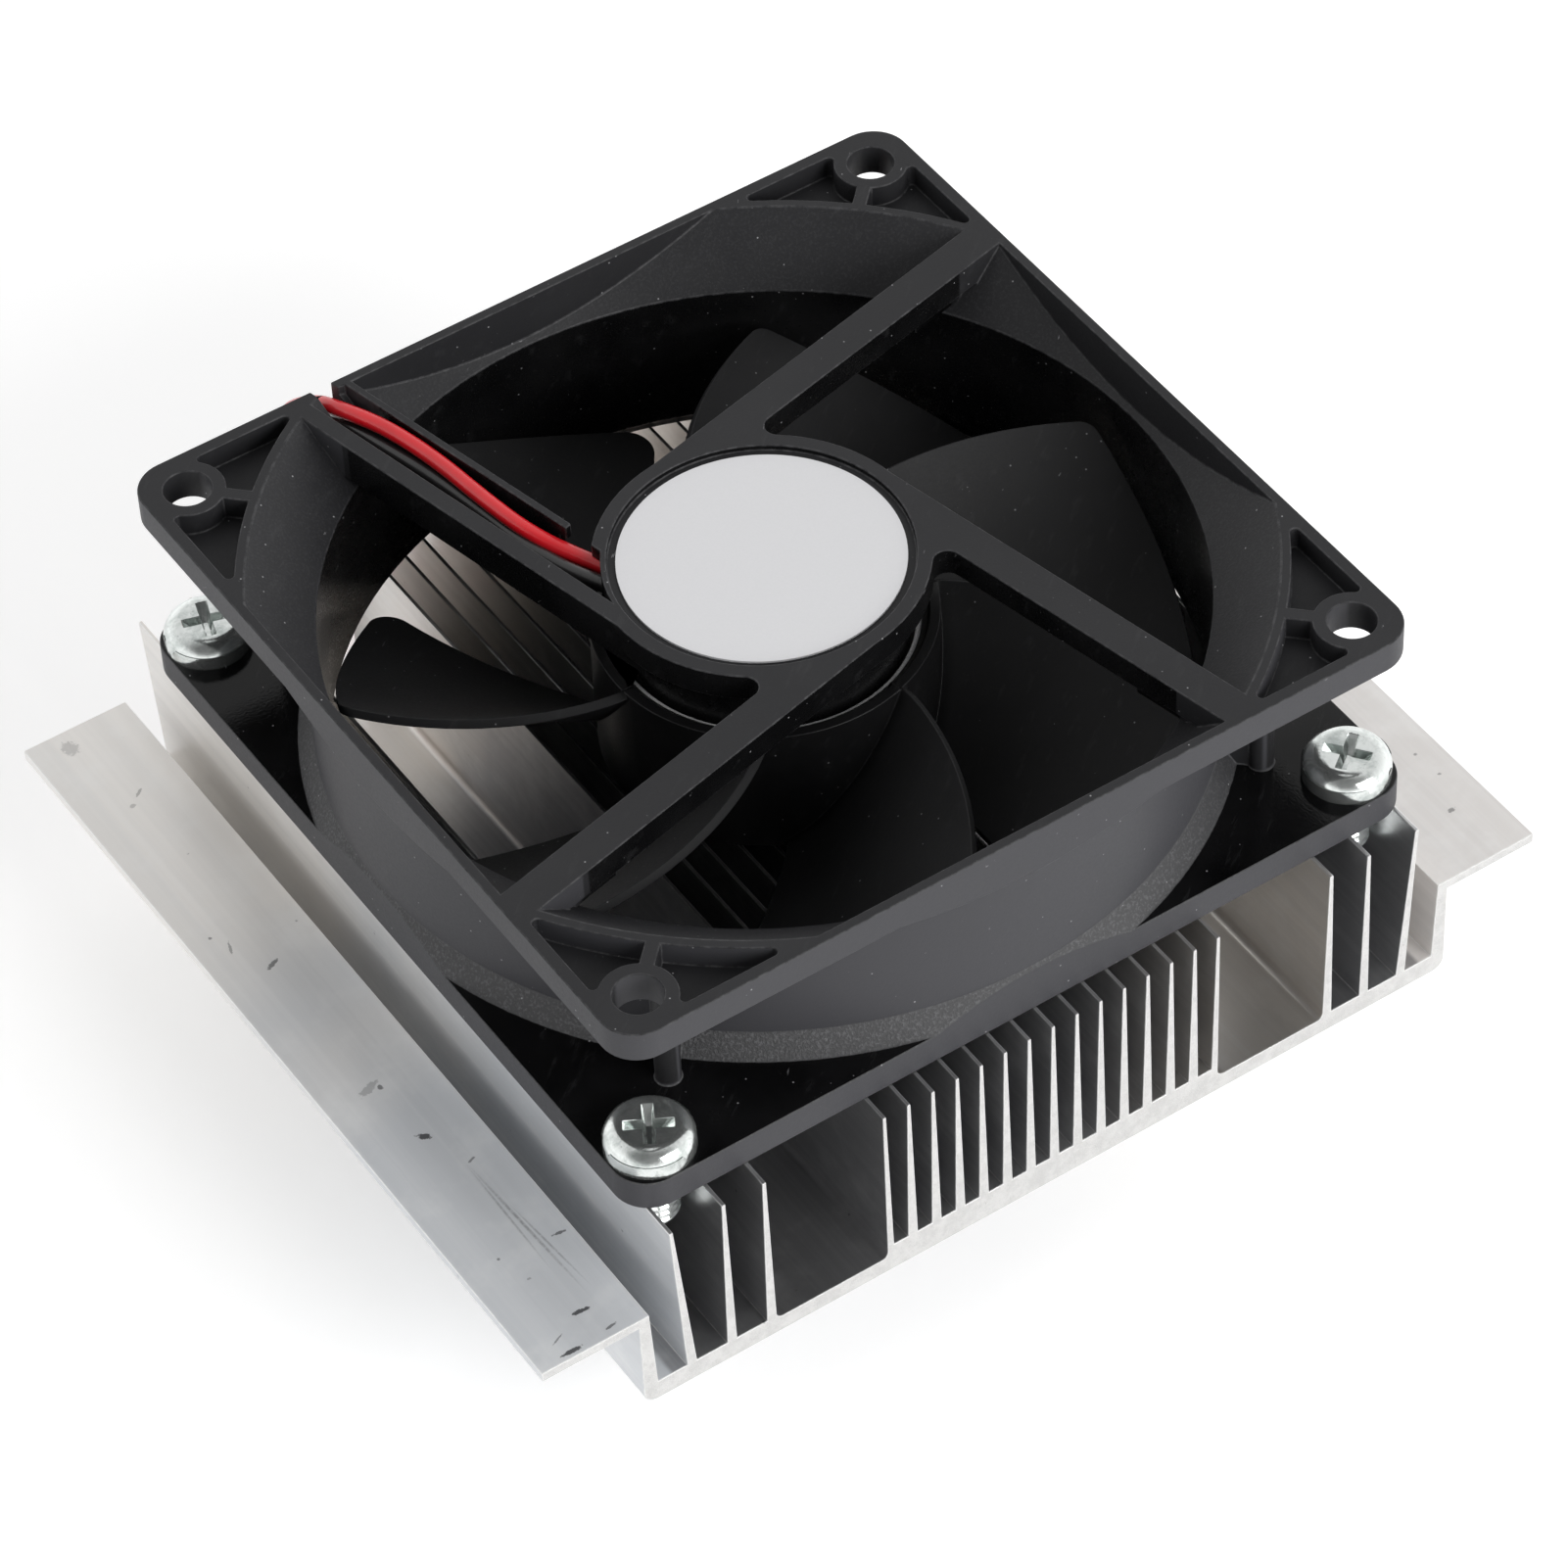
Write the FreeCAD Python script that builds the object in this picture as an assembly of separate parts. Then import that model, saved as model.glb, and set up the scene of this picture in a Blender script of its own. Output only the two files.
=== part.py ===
"""Thermoelectric cooling module: finned heat sink, 92 mm fan on top, tile and cold plate below.

Millimetres. +Z is up, +X runs across the fins from the left flange to the right one, +Y runs
along the fins. The origin is on the cold plate's underside, under the middle of the module.
"""
import FreeCAD, Part
import math
import os

from FreeCAD import Rotation, Vector

# How far cutters and joined pieces pass the face they meet
REACH = 1.0

# Fan frame
FAN_SIDE = 92.0
FAN_SHIFT = -0.9
FAN_HEIGHT = 25.0
FAN_FLANGE = 3.6
FAN_CORNER_R = 4.0
FAN_HOLE_INSET = 4.75
FAN_HOLE_R = 2.45
FAN_RIM_WALL = 1.1
DUCT_INSET = 1.7
DUCT_WALL = 1.5
TOP_FLARE_DEPTH = 5.8
FLARE_RING = 1.0
FLARE_CLEARANCE = 2.536
FOOT_FLARE = 1.9
FOOT_FLARE_DEPTH = 2.6
FOOT_SKIRT = 1.6
FOOT_SKIRT_RISE = 2.4
POCKET_DEPTH = 2.6
POCKET_WALL = 1.4
POCKET_ROUND = 0.5
BOSS_WALL = 1.45
BOSS_WEB = 1.5
POST_R = 1.3
POST_WEB = 1.3
POST_CLEARANCE = 2.686

# Fan hub and its four struts
HUB_R = 16.9
HUB_DEPTH = 3.2
HUB_RECESS_R = 15.3
HUB_RECESS_DEPTH = 0.7
HUB_PLATE = 1.0
SKIRT_R = 14.5
SKIRT_WALL = 1.2
STRUT_COUNT = 4
STRUT_START_ANGLE = 12.8
STRUT_WIDTH = 4.1
STRUT_SETBACK = 0.1
STRUT_SINK = 0.5
STRUT_DEPTH = 3.2
STRUT_ROOT_ROUND = 1.4
STRUT_GUSSET_LENGTH = 4.0
STRUT_GUSSET_DROP = 1.6
STRUT_GUSSET_INSET = 0.9
LABEL_R = 14.4
LABEL_THICKNESS = 0.25

# Channel that holds the two leads along one strut
CHANNEL_SETBACK = 0.4
CHANNEL_WIDTH = 4.3
CHANNEL_WALL = 2.0
CHANNEL_RIB = 0.8
CHANNEL_RIB_START = 17.0
WINDOW_SIDE = 2.3
WINDOW_RIM = 1.0
CHANNEL_FLOOR = 1.0
CHANNEL_DEPTH = 3.55
NOTCH_WIDTH = 2.3
NOTCH_OFFSET = 12.15

# Impeller
BLADE_COUNT = 7
BLADE_TIP_CLEARANCE = 1.2
BLADE_THICKNESS = 1.0
BLADE_CAMBER = 1.5
BLADE_CORNER_R = 2.4
BLADE_ROOT_SINK = 1.2
BLADE_SPANS = 7
BLADE_STEPS = 6
LEAD_SWEEP_POWER = 0.75
TRAIL_ROOT_ANGLE = 31.0
TRAIL_TIP_ANGLE = 6.0
LEAD_ROOT_ANGLE = -13.3
LEAD_TIP_ANGLE = -30.5
TRAIL_ROOT_Z = 16.8
TRAIL_TIP_Z = 15.2
LEAD_Z = 1.9
ROTOR_R = 17.5
ROTOR_BASE_Z = 1.5
ROTOR_RIM_Z = 17.0
ROTOR_CAP = 1.6

# Motor
FIT_GAP = 0.05
CUP_WALL = 0.6
CUP_FLOOR = 0.8
CUP_RIM_DROP = 1.2
CUP_INNER_R = 15.0
MAGNET_WALL = 1.6
MAGNET_HEIGHT = 9.7
MAGNET_SEAT = 0.3
AIR_GAP = 0.9
SHAFT_R = 1.5
SHAFT_SETBACK = 0.6
SHAFT_BOSS_WALL = 1.6
SHAFT_BOSS_HEIGHT = 2.4
SHAFT_GROOVE_DEPTH = 0.35
CLIP_THICKNESS = 0.5
CLIP_R = 2.8
CLIP_GAP = 2.2
CLIP_SETBACK = 1.0
RUNNING_CLEARANCE = 0.04
WASHER_THICKNESS = 0.4
SLEEVE_WALL = 1.66
TUBE_WALL = 1.1
CORE_HEIGHT = 5.0
CORE_BASE_Z = 8.2
CORE_YOKE_WALL = 2.2
POLE_COUNT = 4
POLE_WIDTH = 3.0
POLE_SHOE = 1.4
POLE_SLOT = 3.2
BOBBIN_WALL = 1.1
BOBBIN_SIDE = 0.6
BOBBIN_SETBACK = 0.4
WINDING_BUILD = 1.5
WINDING_ROUND = 0.9
BOARD_DROP = 2.9
BOARD_THICKNESS = 1.2
BOARD_POST_R = 0.8
HALL_SIZE = (4.0, 1.6, 3.2)
HALL_RADIUS = 11.5
HALL_ANGLE = 45.0
CHIP_SIZE = (5.0, 4.0, 1.5)
CHIP_RADIUS = 8.5
CHIP_ANGLE = -60.0

# Heat sink extrusion
SINK_LENGTH = 100.0
SINK_HEIGHT = 23.0
BASE_CENTRE = 3.6
BASE_WIDE = 2.1
BASE_OUTER = 2.5
CENTRE_FIN_COUNT = 15
CENTRE_FIN_PITCH = 2.83
CENTRE_FIN_TIP = 0.4
CENTRE_FIN_ROOT = 1.18
INNER_FIN_GAP = 7.6
OUTER_FIN_TIP = 0.45
OUTER_FIN_ROOT = 1.15
SCREW_FIN_GAP = 2.75
EDGE_FIN_LEAN = 1.3
CHANNEL_FILLET = 0.8
SIDE_WALL_INSET = 0.45
SIDE_WALL = 1.45
WALL_CLEARANCE = 2.5
FLANGE_RISE = 12.9
FLANGE_THICKNESS = 1.2
FLANGE_REACH = 10.9
BASE_EDGE_ROUND = 1.5

# Fan screws
FAN_SCREW_R = 2.3
FAN_SCREW_LENGTH = 11.0
FAN_SCREW_TIP = 1.6
FAN_SCREW_HEAD_R = 4.55
FAN_SCREW_HEAD = 2.9
FAN_SCREW_HEAD_EDGE = 0.9
CROSS_REACH = 2.5
CROSS_WIDTH = 1.15
CROSS_DEPTH = 1.7
CROSS_TAPER = 0.45
HEAD_CROWN = 0.55
HEAD_CHEEK = (0.9, 0.68)
TIP_TAPER = 0.45
CROSS_ANGLES = (60.0, 37.0, 20.0, 72.0)

# Thermoelectric tile, gasket and cold plate
TILE_SIDE = 40.0
CERAMIC = 0.8
TAB_THICKNESS = 0.3
LEG_HEIGHT = 1.6
LEG_SIDE = 1.9
LEG_ROWS = 12
LEG_PITCH = 3.15
SEAL_WALL = 0.8
PLATE_LENGTH = 66.0
PLATE_WIDTH = 44.0
PLATE_THICKNESS = 8.0
PLATE_CHAMFER = 0.6
GASKET_CLEARANCE = 0.3
CLAMP_SPACING = 54.0
CLAMP_SCREW_R = 1.5
CLAMP_BITE = 2.6
CLAMP_HEAD_R = 2.75
CLAMP_HEAD = 2.2
CLAMP_SEAT_DEPTH = 3.5
CLAMP_SLOT_WIDTH = 0.8
CLAMP_SLOT_DEPTH = 0.9
BUSH_WALL = 0.8
BUSH_FLANGE = 1.0
BUSH_FLANGE_R = 4.3
BUSH_CLEARANCE = 0.1

# Leads: each route is a list chosen by hand, from the circuit board to the start of the coil.
# The first points are across the strut, along it and above the frame's top, so below it if negative.
LEAD_R = 0.85
RED_IN_CHANNEL = (
    (-8.9, 8.4, -2.55),
    (-10.6, 15.3, -2.55),
    (-12.2, 20.6, -1.3),
    (-12.0, 27.0, -0.9),
    (-11.1, 34.5, -1.0),
    (-11.25, 41.5, -0.9),
    (-12.25, 46.8, -1.1),
    (-12.15, 51.2, -2.7),
)
BLACK_IN_CHANNEL = (
    (-10.4, 6.4, -2.55),
    (-12.3, 12.2, -2.55),
    (-13.0, 19.5, -2.55),
    (-12.5, 26.5, -2.45),
    (-12.1, 34.0, -2.5),
    (-12.4, 41.0, -2.5),
    (-12.2, 46.0, -3.0),
    (-12.15, 49.6, -4.5),
)
# The points behind the module are in the part's own axes.
RED_TO_COIL = (
    (-23.8, 53.3, 50.5),
    (-24.4, 55.2, 38.0),
    (-24.6, 56.3, 24.0),
    (-24.0, 56.4, 11.0),
    (-20.5, 55.9, 3.2),
    (-13.0, 54.9, 0.9),
    (-6.0, 54.0, 0.87),
)
BLACK_TO_COIL = (
    (-23.3, 50.9, 49.5),
    (-23.6, 52.9, 37.5),
    (-23.8, 53.6, 25.0),
    (-23.2, 53.7, 14.5),
    (-20.2, 53.3, 8.3),
    (-14.0, 52.9, 6.5),
    (-7.0, 53.1, 6.4),
)
RED_TO_PLUG = (
    (5.0, 53.6, 4.3),
    (10.5, 53.8, 3.3),
    (16.0, 53.95, 2.8),
)
BLACK_TO_PLUG = (
    (5.0, 53.8, 9.9),
    (9.8, 54.7, 8.2),
    (13.8, 55.9, 5.2),
    (17.8, 56.45, 2.8),
)
COIL_CENTRE = (0.0, 63.1)
COIL_R = 9.3
COIL_TURNS = 2
COIL_PITCH = 1.85
PLUG_X = 22.0
PLUG_Y = 55.2
PLUG_SIZE = (12.0, 7.4, 5.6)
PLUG_KEY = (7.0, 1.8, 0.7)
PLUG_PITCH = 2.5
PLUG_CAVITY = 1.9
PLUG_BACK = 1.6
CONTACT_SIZE = (6.5, 1.4, 1.4)
CONTACT_WALL = 0.3

# Levels worked out from the sizes above
TILE_THICKNESS = 2 * CERAMIC + 2 * TAB_THICKNESS + LEG_HEIGHT
TILE_Z = PLATE_THICKNESS
SINK_Z = TILE_Z + TILE_THICKNESS
FAN_Z = SINK_Z + SINK_HEIGHT
HUB_UNDER_Z = FAN_HEIGHT - HUB_DEPTH
PLATE_TOP_Z = FAN_HEIGHT - HUB_RECESS_DEPTH
PLATE_UNDER_Z = PLATE_TOP_Z - HUB_PLATE
BOARD_Z = PLATE_UNDER_Z - BOARD_DROP
SHAFT_TOP_Z = PLATE_UNDER_Z - SHAFT_SETBACK
CUP_OUTER_R = CUP_INNER_R + CUP_WALL
CUP_BASE_Z = ROTOR_BASE_Z + ROTOR_CAP
CUP_RIM_Z = ROTOR_RIM_Z - CUP_RIM_DROP
MAGNET_Z = CUP_BASE_Z + CUP_FLOOR + MAGNET_SEAT
MAGNET_INNER_R = CUP_INNER_R - MAGNET_WALL
CORE_R = MAGNET_INNER_R - AIR_GAP
SLEEVE_INNER_R = SHAFT_R + RUNNING_CLEARANCE
SLEEVE_R = SLEEVE_INNER_R + SLEEVE_WALL
TUBE_R = SLEEVE_R + TUBE_WALL
BOSS_R = FAN_HOLE_R + BOSS_WALL
HOLE_XY = FAN_SIDE / 2 - FAN_HOLE_INSET
HOLE_CIRCLE_R = math.hypot(HOLE_XY, HOLE_XY)
DUCT_R = FAN_SIDE / 2 - DUCT_INSET
TOP_FLARE_R = HOLE_CIRCLE_R - BOSS_R - FLARE_RING - FLARE_CLEARANCE
FOOT_FLARE_R = DUCT_R + FOOT_FLARE
FOOT_SKIRT_R = DUCT_R + DUCT_WALL + FOOT_SKIRT
POST_CIRCLE_R = HOLE_CIRCLE_R - FAN_SCREW_HEAD_R - POST_R - POST_CLEARANCE
INNER_FIN_X = HOLE_XY - INNER_FIN_GAP
STRUT_OUTER = HUB_R - STRUT_SETBACK
CHANNEL_OUTER = HUB_R - CHANNEL_SETBACK
CHANNEL_INNER = CHANNEL_OUTER - CHANNEL_WALL - CHANNEL_WIDTH
SCREW_POINTS = ((-HOLE_XY, -HOLE_XY), (HOLE_XY, -HOLE_XY), (HOLE_XY, HOLE_XY), (-HOLE_XY, HOLE_XY))


def cylinder(radius, z0, z1, x=0.0, y=0.0):
    """Upright solid cylinder between two heights."""
    return Part.makeCylinder(radius, z1 - z0, Vector(x, y, z0))


def ring(outer, inner, z0, z1, x=0.0, y=0.0):
    """Upright tube between two heights."""
    return cylinder(outer, z0, z1, x, y).cut(cylinder(inner, z0 - REACH, z1 + REACH, x, y))


def block(x0, x1, y0, y1, z0, z1):
    """Rectangular block between two corners."""
    return Part.makeBox(x1 - x0, y1 - y0, z1 - z0, Vector(x0, y0, z0))


def plate(length_x, length_y, z0, z1):
    """Rectangular plate centred on the axis."""
    return block(-length_x / 2, length_x / 2, -length_y / 2, length_y / 2, z0, z1)


def turned(shape, angle):
    """Copy of a shape turned about the vertical axis, in degrees."""
    copy = shape.copy()
    copy.rotate(Vector(0, 0, 0), Vector(0, 0, 1), angle)
    return copy


def on_sink(shape):
    """Copy of a piece of the fan, moved from the fan's own axes to its seat on the fins."""
    copy = shape.copy()
    copy.translate(Vector(0, FAN_SHIFT, FAN_Z))
    return copy


def fused(shapes):
    """One solid made of several that touch."""
    return shapes[0].multiFuse(shapes[1:]).removeSplitter()


def vertical_edges(shape, x, y, tolerance=0.05):
    """Upright edges of a shape that stand at one place in plan."""
    found = []
    for edge in shape.Edges:
        points = [vertex.Point for vertex in edge.Vertexes]
        near = [math.hypot(p.x - x, p.y - y) < tolerance for p in points]
        if len(points) == 2 and all(near) and abs(points[0].z - points[1].z) > 0.1:
            found.append(edge)
    return found


def rounded_square(side, corner_r, z0, z1):
    """Square plate with rounded corners."""
    solid = plate(side, side, z0, z1)
    half = side / 2
    corners = []
    for x in (-half, half):
        for y in (-half, half):
            corners += vertical_edges(solid, x, y)
    return solid.makeFillet(corner_r, corners)


# Fan frame


def corner_pocket(z0, z1):
    """Pair of pockets beside one mounting boss, in the corner on +X and +Y."""
    outer = FAN_SIDE / 2 - POCKET_WALL
    inner_r = TOP_FLARE_R + FLARE_RING
    solid = block(0, outer, 0, outer, z0, z1)
    solid = solid.cut(cylinder(inner_r, z0 - REACH, z1 + REACH))
    solid = solid.cut(cylinder(BOSS_R, z0 - REACH, z1 + REACH, HOLE_XY, HOLE_XY))
    web = block(0, FAN_SIDE, -BOSS_WEB / 2, BOSS_WEB / 2, z0 - REACH, z1 + REACH)
    solid = solid.cut(turned(web, 45))
    beyond = HOLE_XY - BOSS_R
    tip = math.sqrt(inner_r ** 2 - outer ** 2)
    pockets = []
    for part in solid.Solids:
        centre = part.CenterOfMass
        if min(centre.x, centre.y) > HOLE_XY:
            continue
        edges = vertical_edges(part, outer, tip) + vertical_edges(part, tip, outer)
        for x, y in ((outer, beyond), (beyond, outer)):
            edges += [e for e in vertical_edges(part, x, y, BOSS_R / 2) if e not in edges]
        pockets.append(part.makeFillet(POCKET_ROUND, edges))
    return pockets


def frame_pockets():
    """All the pockets: those of the top flange open upwards, those of the foot downwards."""
    pockets = []
    levels = ((FAN_HEIGHT - POCKET_DEPTH, FAN_HEIGHT + REACH), (-REACH, POCKET_DEPTH))
    for z0, z1 in levels:
        corner = corner_pocket(z0, z1)
        for quarter in range(4):
            pockets += [turned(pocket, 90 * quarter) for pocket in corner]
    return pockets


def duct_opening():
    """Air passage: a round duct that flares towards both faces and stops at the side walls."""
    flare = Part.makeCone(DUCT_R, TOP_FLARE_R, TOP_FLARE_DEPTH, Vector(0, 0, FAN_HEIGHT - TOP_FLARE_DEPTH))
    above = cylinder(TOP_FLARE_R, FAN_HEIGHT, FAN_HEIGHT + REACH)
    foot = Part.makeCone(FOOT_FLARE_R, DUCT_R, FOOT_FLARE_DEPTH)
    below = cylinder(FOOT_FLARE_R, -REACH, 0)
    inner = FAN_SIDE - 2 * FAN_RIM_WALL
    walls = plate(inner, inner, -2 * REACH, FAN_HEIGHT + 2 * REACH)
    bore = cylinder(DUCT_R, -REACH, FAN_HEIGHT + REACH)
    return fused([flare, above, foot, below, bore]).common(walls)


def barrel():
    """Outer wall of the duct between the flanges, with its flares and corner posts."""
    outer_r = DUCT_R + DUCT_WALL
    top_z = FAN_HEIGHT - FAN_FLANGE
    body = cylinder(outer_r, 0, FAN_HEIGHT)
    skirt = Part.makeCone(FOOT_SKIRT_R, outer_r, FOOT_SKIRT_RISE, Vector(0, 0, FAN_FLANGE))
    slope = (TOP_FLARE_R - DUCT_R) / TOP_FLARE_DEPTH
    top_r = outer_r + slope * (TOP_FLARE_DEPTH - FAN_FLANGE)
    collar_z = FAN_HEIGHT - TOP_FLARE_DEPTH
    collar = Part.makeCone(outer_r, top_r, top_z - collar_z, Vector(0, 0, collar_z))
    round_walls = fused([body, skirt, collar]).common(plate(FAN_SIDE, FAN_SIDE, 0, FAN_HEIGHT))
    posts = []
    for quarter in range(4):
        post = cylinder(POST_R, FAN_FLANGE - REACH, top_z + REACH, POST_CIRCLE_R, 0)
        web = block(outer_r - REACH, POST_CIRCLE_R, -POST_WEB / 2, POST_WEB / 2,
                    FAN_FLANGE - REACH, top_z + REACH)
        posts.append(turned(fused([post, web]), 45 + 90 * quarter))
    return fused([round_walls] + posts)


def strut_bar(width, z0, z1, start=0.0, offset=STRUT_OUTER):
    """Straight bar beside the hub, along +X before it is turned to its strut's angle."""
    return block(start, FAN_SIDE, offset - width, offset, z0, z1)


def strut_limits():
    """Space that the struts may fill: up to the middle of the walls around the air passage."""
    inner = FAN_SIDE - FAN_RIM_WALL
    walls = plate(inner, inner, 0, FAN_HEIGHT)
    lower = cylinder(DUCT_R + DUCT_WALL / 2, 0, FAN_HEIGHT)
    depth = TOP_FLARE_DEPTH
    slope_r = TOP_FLARE_R + FLARE_RING / 2
    base_r = DUCT_R + DUCT_WALL / 2
    upper = Part.makeCone(base_r, slope_r, depth, Vector(0, 0, FAN_HEIGHT - depth))
    return fused([lower, upper]).common(walls)


def plain_strut(angle):
    """One of the three plain struts, with the stepped gusset at its outer end."""
    bar = strut_bar(STRUT_WIDTH, FAN_HEIGHT - STRUT_DEPTH, FAN_HEIGHT)
    rim_x = math.sqrt(DUCT_R ** 2 - STRUT_OUTER ** 2)
    gusset_width = STRUT_WIDTH - 2 * STRUT_GUSSET_INSET
    gusset_z = FAN_HEIGHT - STRUT_DEPTH - STRUT_GUSSET_DROP
    gusset = strut_bar(gusset_width, gusset_z, FAN_HEIGHT - STRUT_DEPTH / 2,
                       rim_x - STRUT_GUSSET_LENGTH, STRUT_OUTER - STRUT_GUSSET_INSET)
    return turned(fused([bar, gusset]), angle)


def channel_strut(angle):
    """Strut with a channel for the leads: a wall by the hub's tangent, a floor and a thin rib."""
    floor_z = FAN_HEIGHT - CHANNEL_DEPTH
    under_z = floor_z - CHANNEL_FLOOR
    wall = strut_bar(CHANNEL_WALL, under_z, FAN_HEIGHT, 0, CHANNEL_OUTER)
    floor = strut_bar(CHANNEL_WALL + CHANNEL_WIDTH, under_z, floor_z, 0, CHANNEL_OUTER)
    rib = strut_bar(CHANNEL_RIB, under_z, FAN_HEIGHT, CHANNEL_RIB_START, CHANNEL_INNER)
    return turned(fused([wall, floor, rib]), angle)


def hub_body():
    """Hub: a rim and plate under the label, and the skirt that dips into the rotor cup."""
    rim = ring(HUB_R, SKIRT_R - SKIRT_WALL, HUB_UNDER_Z, FAN_HEIGHT)
    plate_disc = cylinder(HUB_RECESS_R, PLATE_UNDER_Z, FAN_HEIGHT)
    skirt_z = MAGNET_Z + MAGNET_HEIGHT + AIR_GAP
    skirt = ring(SKIRT_R, SKIRT_R - SKIRT_WALL, skirt_z, FAN_HEIGHT)
    return fused([rim, plate_disc, skirt])


def lead_cuts():
    """Window in the hub's rim and skirt that the leads pass through, and the notch in the side."""
    low = FAN_HEIGHT - CHANNEL_DEPTH
    side = CHANNEL_OUTER - CHANNEL_WALL
    reach = HUB_R + WINDOW_RIM
    under = block(0, reach, CHANNEL_INNER - WINDOW_SIDE, side, low, PLATE_UNDER_Z)
    above = FAN_HEIGHT + REACH
    outer = block(0, reach, CHANNEL_INNER, side, low, above)
    outer = outer.cut(cylinder(HUB_R - WINDOW_RIM, low - REACH, above + REACH))
    foot = FAN_HEIGHT - FAN_FLANGE - REACH
    half = NOTCH_WIDTH / 2
    notch = block(HUB_R, FAN_SIDE, NOTCH_OFFSET - half, NOTCH_OFFSET + half, foot, above)
    notch = notch.cut(cylinder(DUCT_R, foot - REACH, above + REACH))
    angle = STRUT_START_ANGLE + 90
    return [turned(cut, angle) for cut in (under, outer, notch)]


def fan_frame():
    """One moulding: two flanges, barrel, hub, three struts and the channel strut."""
    foot = rounded_square(FAN_SIDE, FAN_CORNER_R, 0, FAN_FLANGE)
    top = rounded_square(FAN_SIDE, FAN_CORNER_R, FAN_HEIGHT - FAN_FLANGE, FAN_HEIGHT)
    body = fused([foot, top, barrel()]).cut(duct_opening())
    limits = strut_limits()
    quarter = 360 / STRUT_COUNT
    arms = [plain_strut(STRUT_START_ANGLE - quarter * i) for i in range(STRUT_COUNT - 1)]
    arms.append(channel_strut(STRUT_START_ANGLE + quarter))
    core = cylinder(HUB_R - STRUT_SINK, 0, FAN_HEIGHT)
    arms = [arm.common(limits).cut(core) for arm in arms]
    spider = fused([hub_body()] + arms)
    along = math.sqrt(HUB_R ** 2 - (STRUT_OUTER - STRUT_WIDTH) ** 2)
    edges = []
    for i in range(STRUT_COUNT - 1):
        turn = math.radians(STRUT_START_ANGLE - quarter * i)
        across = STRUT_OUTER - STRUT_WIDTH
        x = along * math.cos(turn) - across * math.sin(turn)
        y = along * math.sin(turn) + across * math.cos(turn)
        edges += vertical_edges(spider, x, y)
    spider = spider.makeFillet(STRUT_ROOT_ROUND, edges)
    recess = cylinder(HUB_RECESS_R, PLATE_TOP_Z, FAN_HEIGHT + REACH)
    holes = [cylinder(FAN_HOLE_R, -REACH, FAN_HEIGHT + REACH, x, y) for x, y in SCREW_POINTS]
    bearing_hole = cylinder(TUBE_R, 0, FAN_HEIGHT)
    body = fused([body, spider])
    body = body.cut(frame_pockets() + holes + lead_cuts() + [recess, bearing_hole])
    return on_sink(body.removeSplitter())


# Impeller


def blade_point(radius, chord, side):
    """Point on a blade: radius, share of the chord from the leading edge, and which face."""
    share = (radius - ROTOR_R) / (DUCT_R - BLADE_TIP_CLEARANCE - ROTOR_R)
    share = max(share, 0.0)
    trail = TRAIL_ROOT_ANGLE + (TRAIL_TIP_ANGLE - TRAIL_ROOT_ANGLE) * share
    lead = LEAD_ROOT_ANGLE + (LEAD_TIP_ANGLE - LEAD_ROOT_ANGLE) * share ** LEAD_SWEEP_POWER
    top = TRAIL_ROOT_Z + (TRAIL_TIP_Z - TRAIL_ROOT_Z) * share
    angle = math.radians(lead + (trail - lead) * chord)
    sag = 4 * BLADE_CAMBER * chord * (1 - chord)
    height = LEAD_Z + (top - LEAD_Z) * chord - sag
    run = radius * math.radians(trail - lead)
    rise = top - LEAD_Z - 4 * BLADE_CAMBER * (1 - 2 * chord)
    pitch = math.atan2(rise, run)
    offset = side * BLADE_THICKNESS / 2
    arc = angle - offset * math.sin(pitch) / radius
    return Vector(radius * math.cos(arc), radius * math.sin(arc), height + offset * math.cos(pitch))


def blade_face(side, radii, chords):
    """Smooth surface through one side of a blade."""
    rows = [[blade_point(r, c, side) for c in chords] for r in radii]
    surface = Part.BSplineSurface()
    surface.interpolate(rows)
    return surface


def blade():
    """One forward-swept blade, trimmed to the tip circle and rounded at the tip's corners."""
    tip_r = DUCT_R - BLADE_TIP_CLEARANCE
    root_r = ROTOR_R - BLADE_ROOT_SINK
    span = tip_r + REACH - root_r
    radii = [root_r + span * i / BLADE_SPANS for i in range(BLADE_SPANS + 1)]
    chords = [i / BLADE_STEPS for i in range(BLADE_STEPS + 1)]
    upper = blade_face(1, radii, chords)
    lower = blade_face(-1, radii, chords)
    faces = [upper.toShape(), lower.toShape()]
    u0, u1, v0, v1 = upper.bounds()
    borders = [(upper.uIso(u), lower.uIso(u)) for u in (u0, u1)]
    borders += [(upper.vIso(v), lower.vIso(v)) for v in (v0, v1)]
    faces += [Part.makeRuledSurface(a.toShape(), b.toShape()) for a, b in borders]
    shell = Part.makeShell(faces)
    shell.sewShape()
    solid = Part.makeSolid(shell)
    if solid.Volume < 0:
        solid.reverse()
    trimmed = solid.common(turned(cylinder(tip_r, 0, FAN_HEIGHT), 180)).Solids[0]
    corners = []
    for edge in trimmed.Edges:
        points = [vertex.Point for vertex in edge.Vertexes]
        on_tip = all(abs(math.hypot(p.x, p.y) - tip_r) < 0.01 for p in points)
        if len(points) == 2 and on_tip and edge.Length < 3 * BLADE_THICKNESS:
            corners.append(edge)
    return trimmed.makeFillet(BLADE_CORNER_R, corners)


def impeller():
    """One moulding: the closed hub and its ring of blades."""
    body = cylinder(ROTOR_R, ROTOR_BASE_Z, ROTOR_RIM_Z)
    one = blade()
    blades = [turned(one, 360 / BLADE_COUNT * i) for i in range(BLADE_COUNT)]
    body = fused([body] + blades)
    hollow = cylinder(CUP_OUTER_R + FIT_GAP, CUP_BASE_Z, FAN_HEIGHT)
    return on_sink(body.cut(hollow))


# Motor


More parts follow.
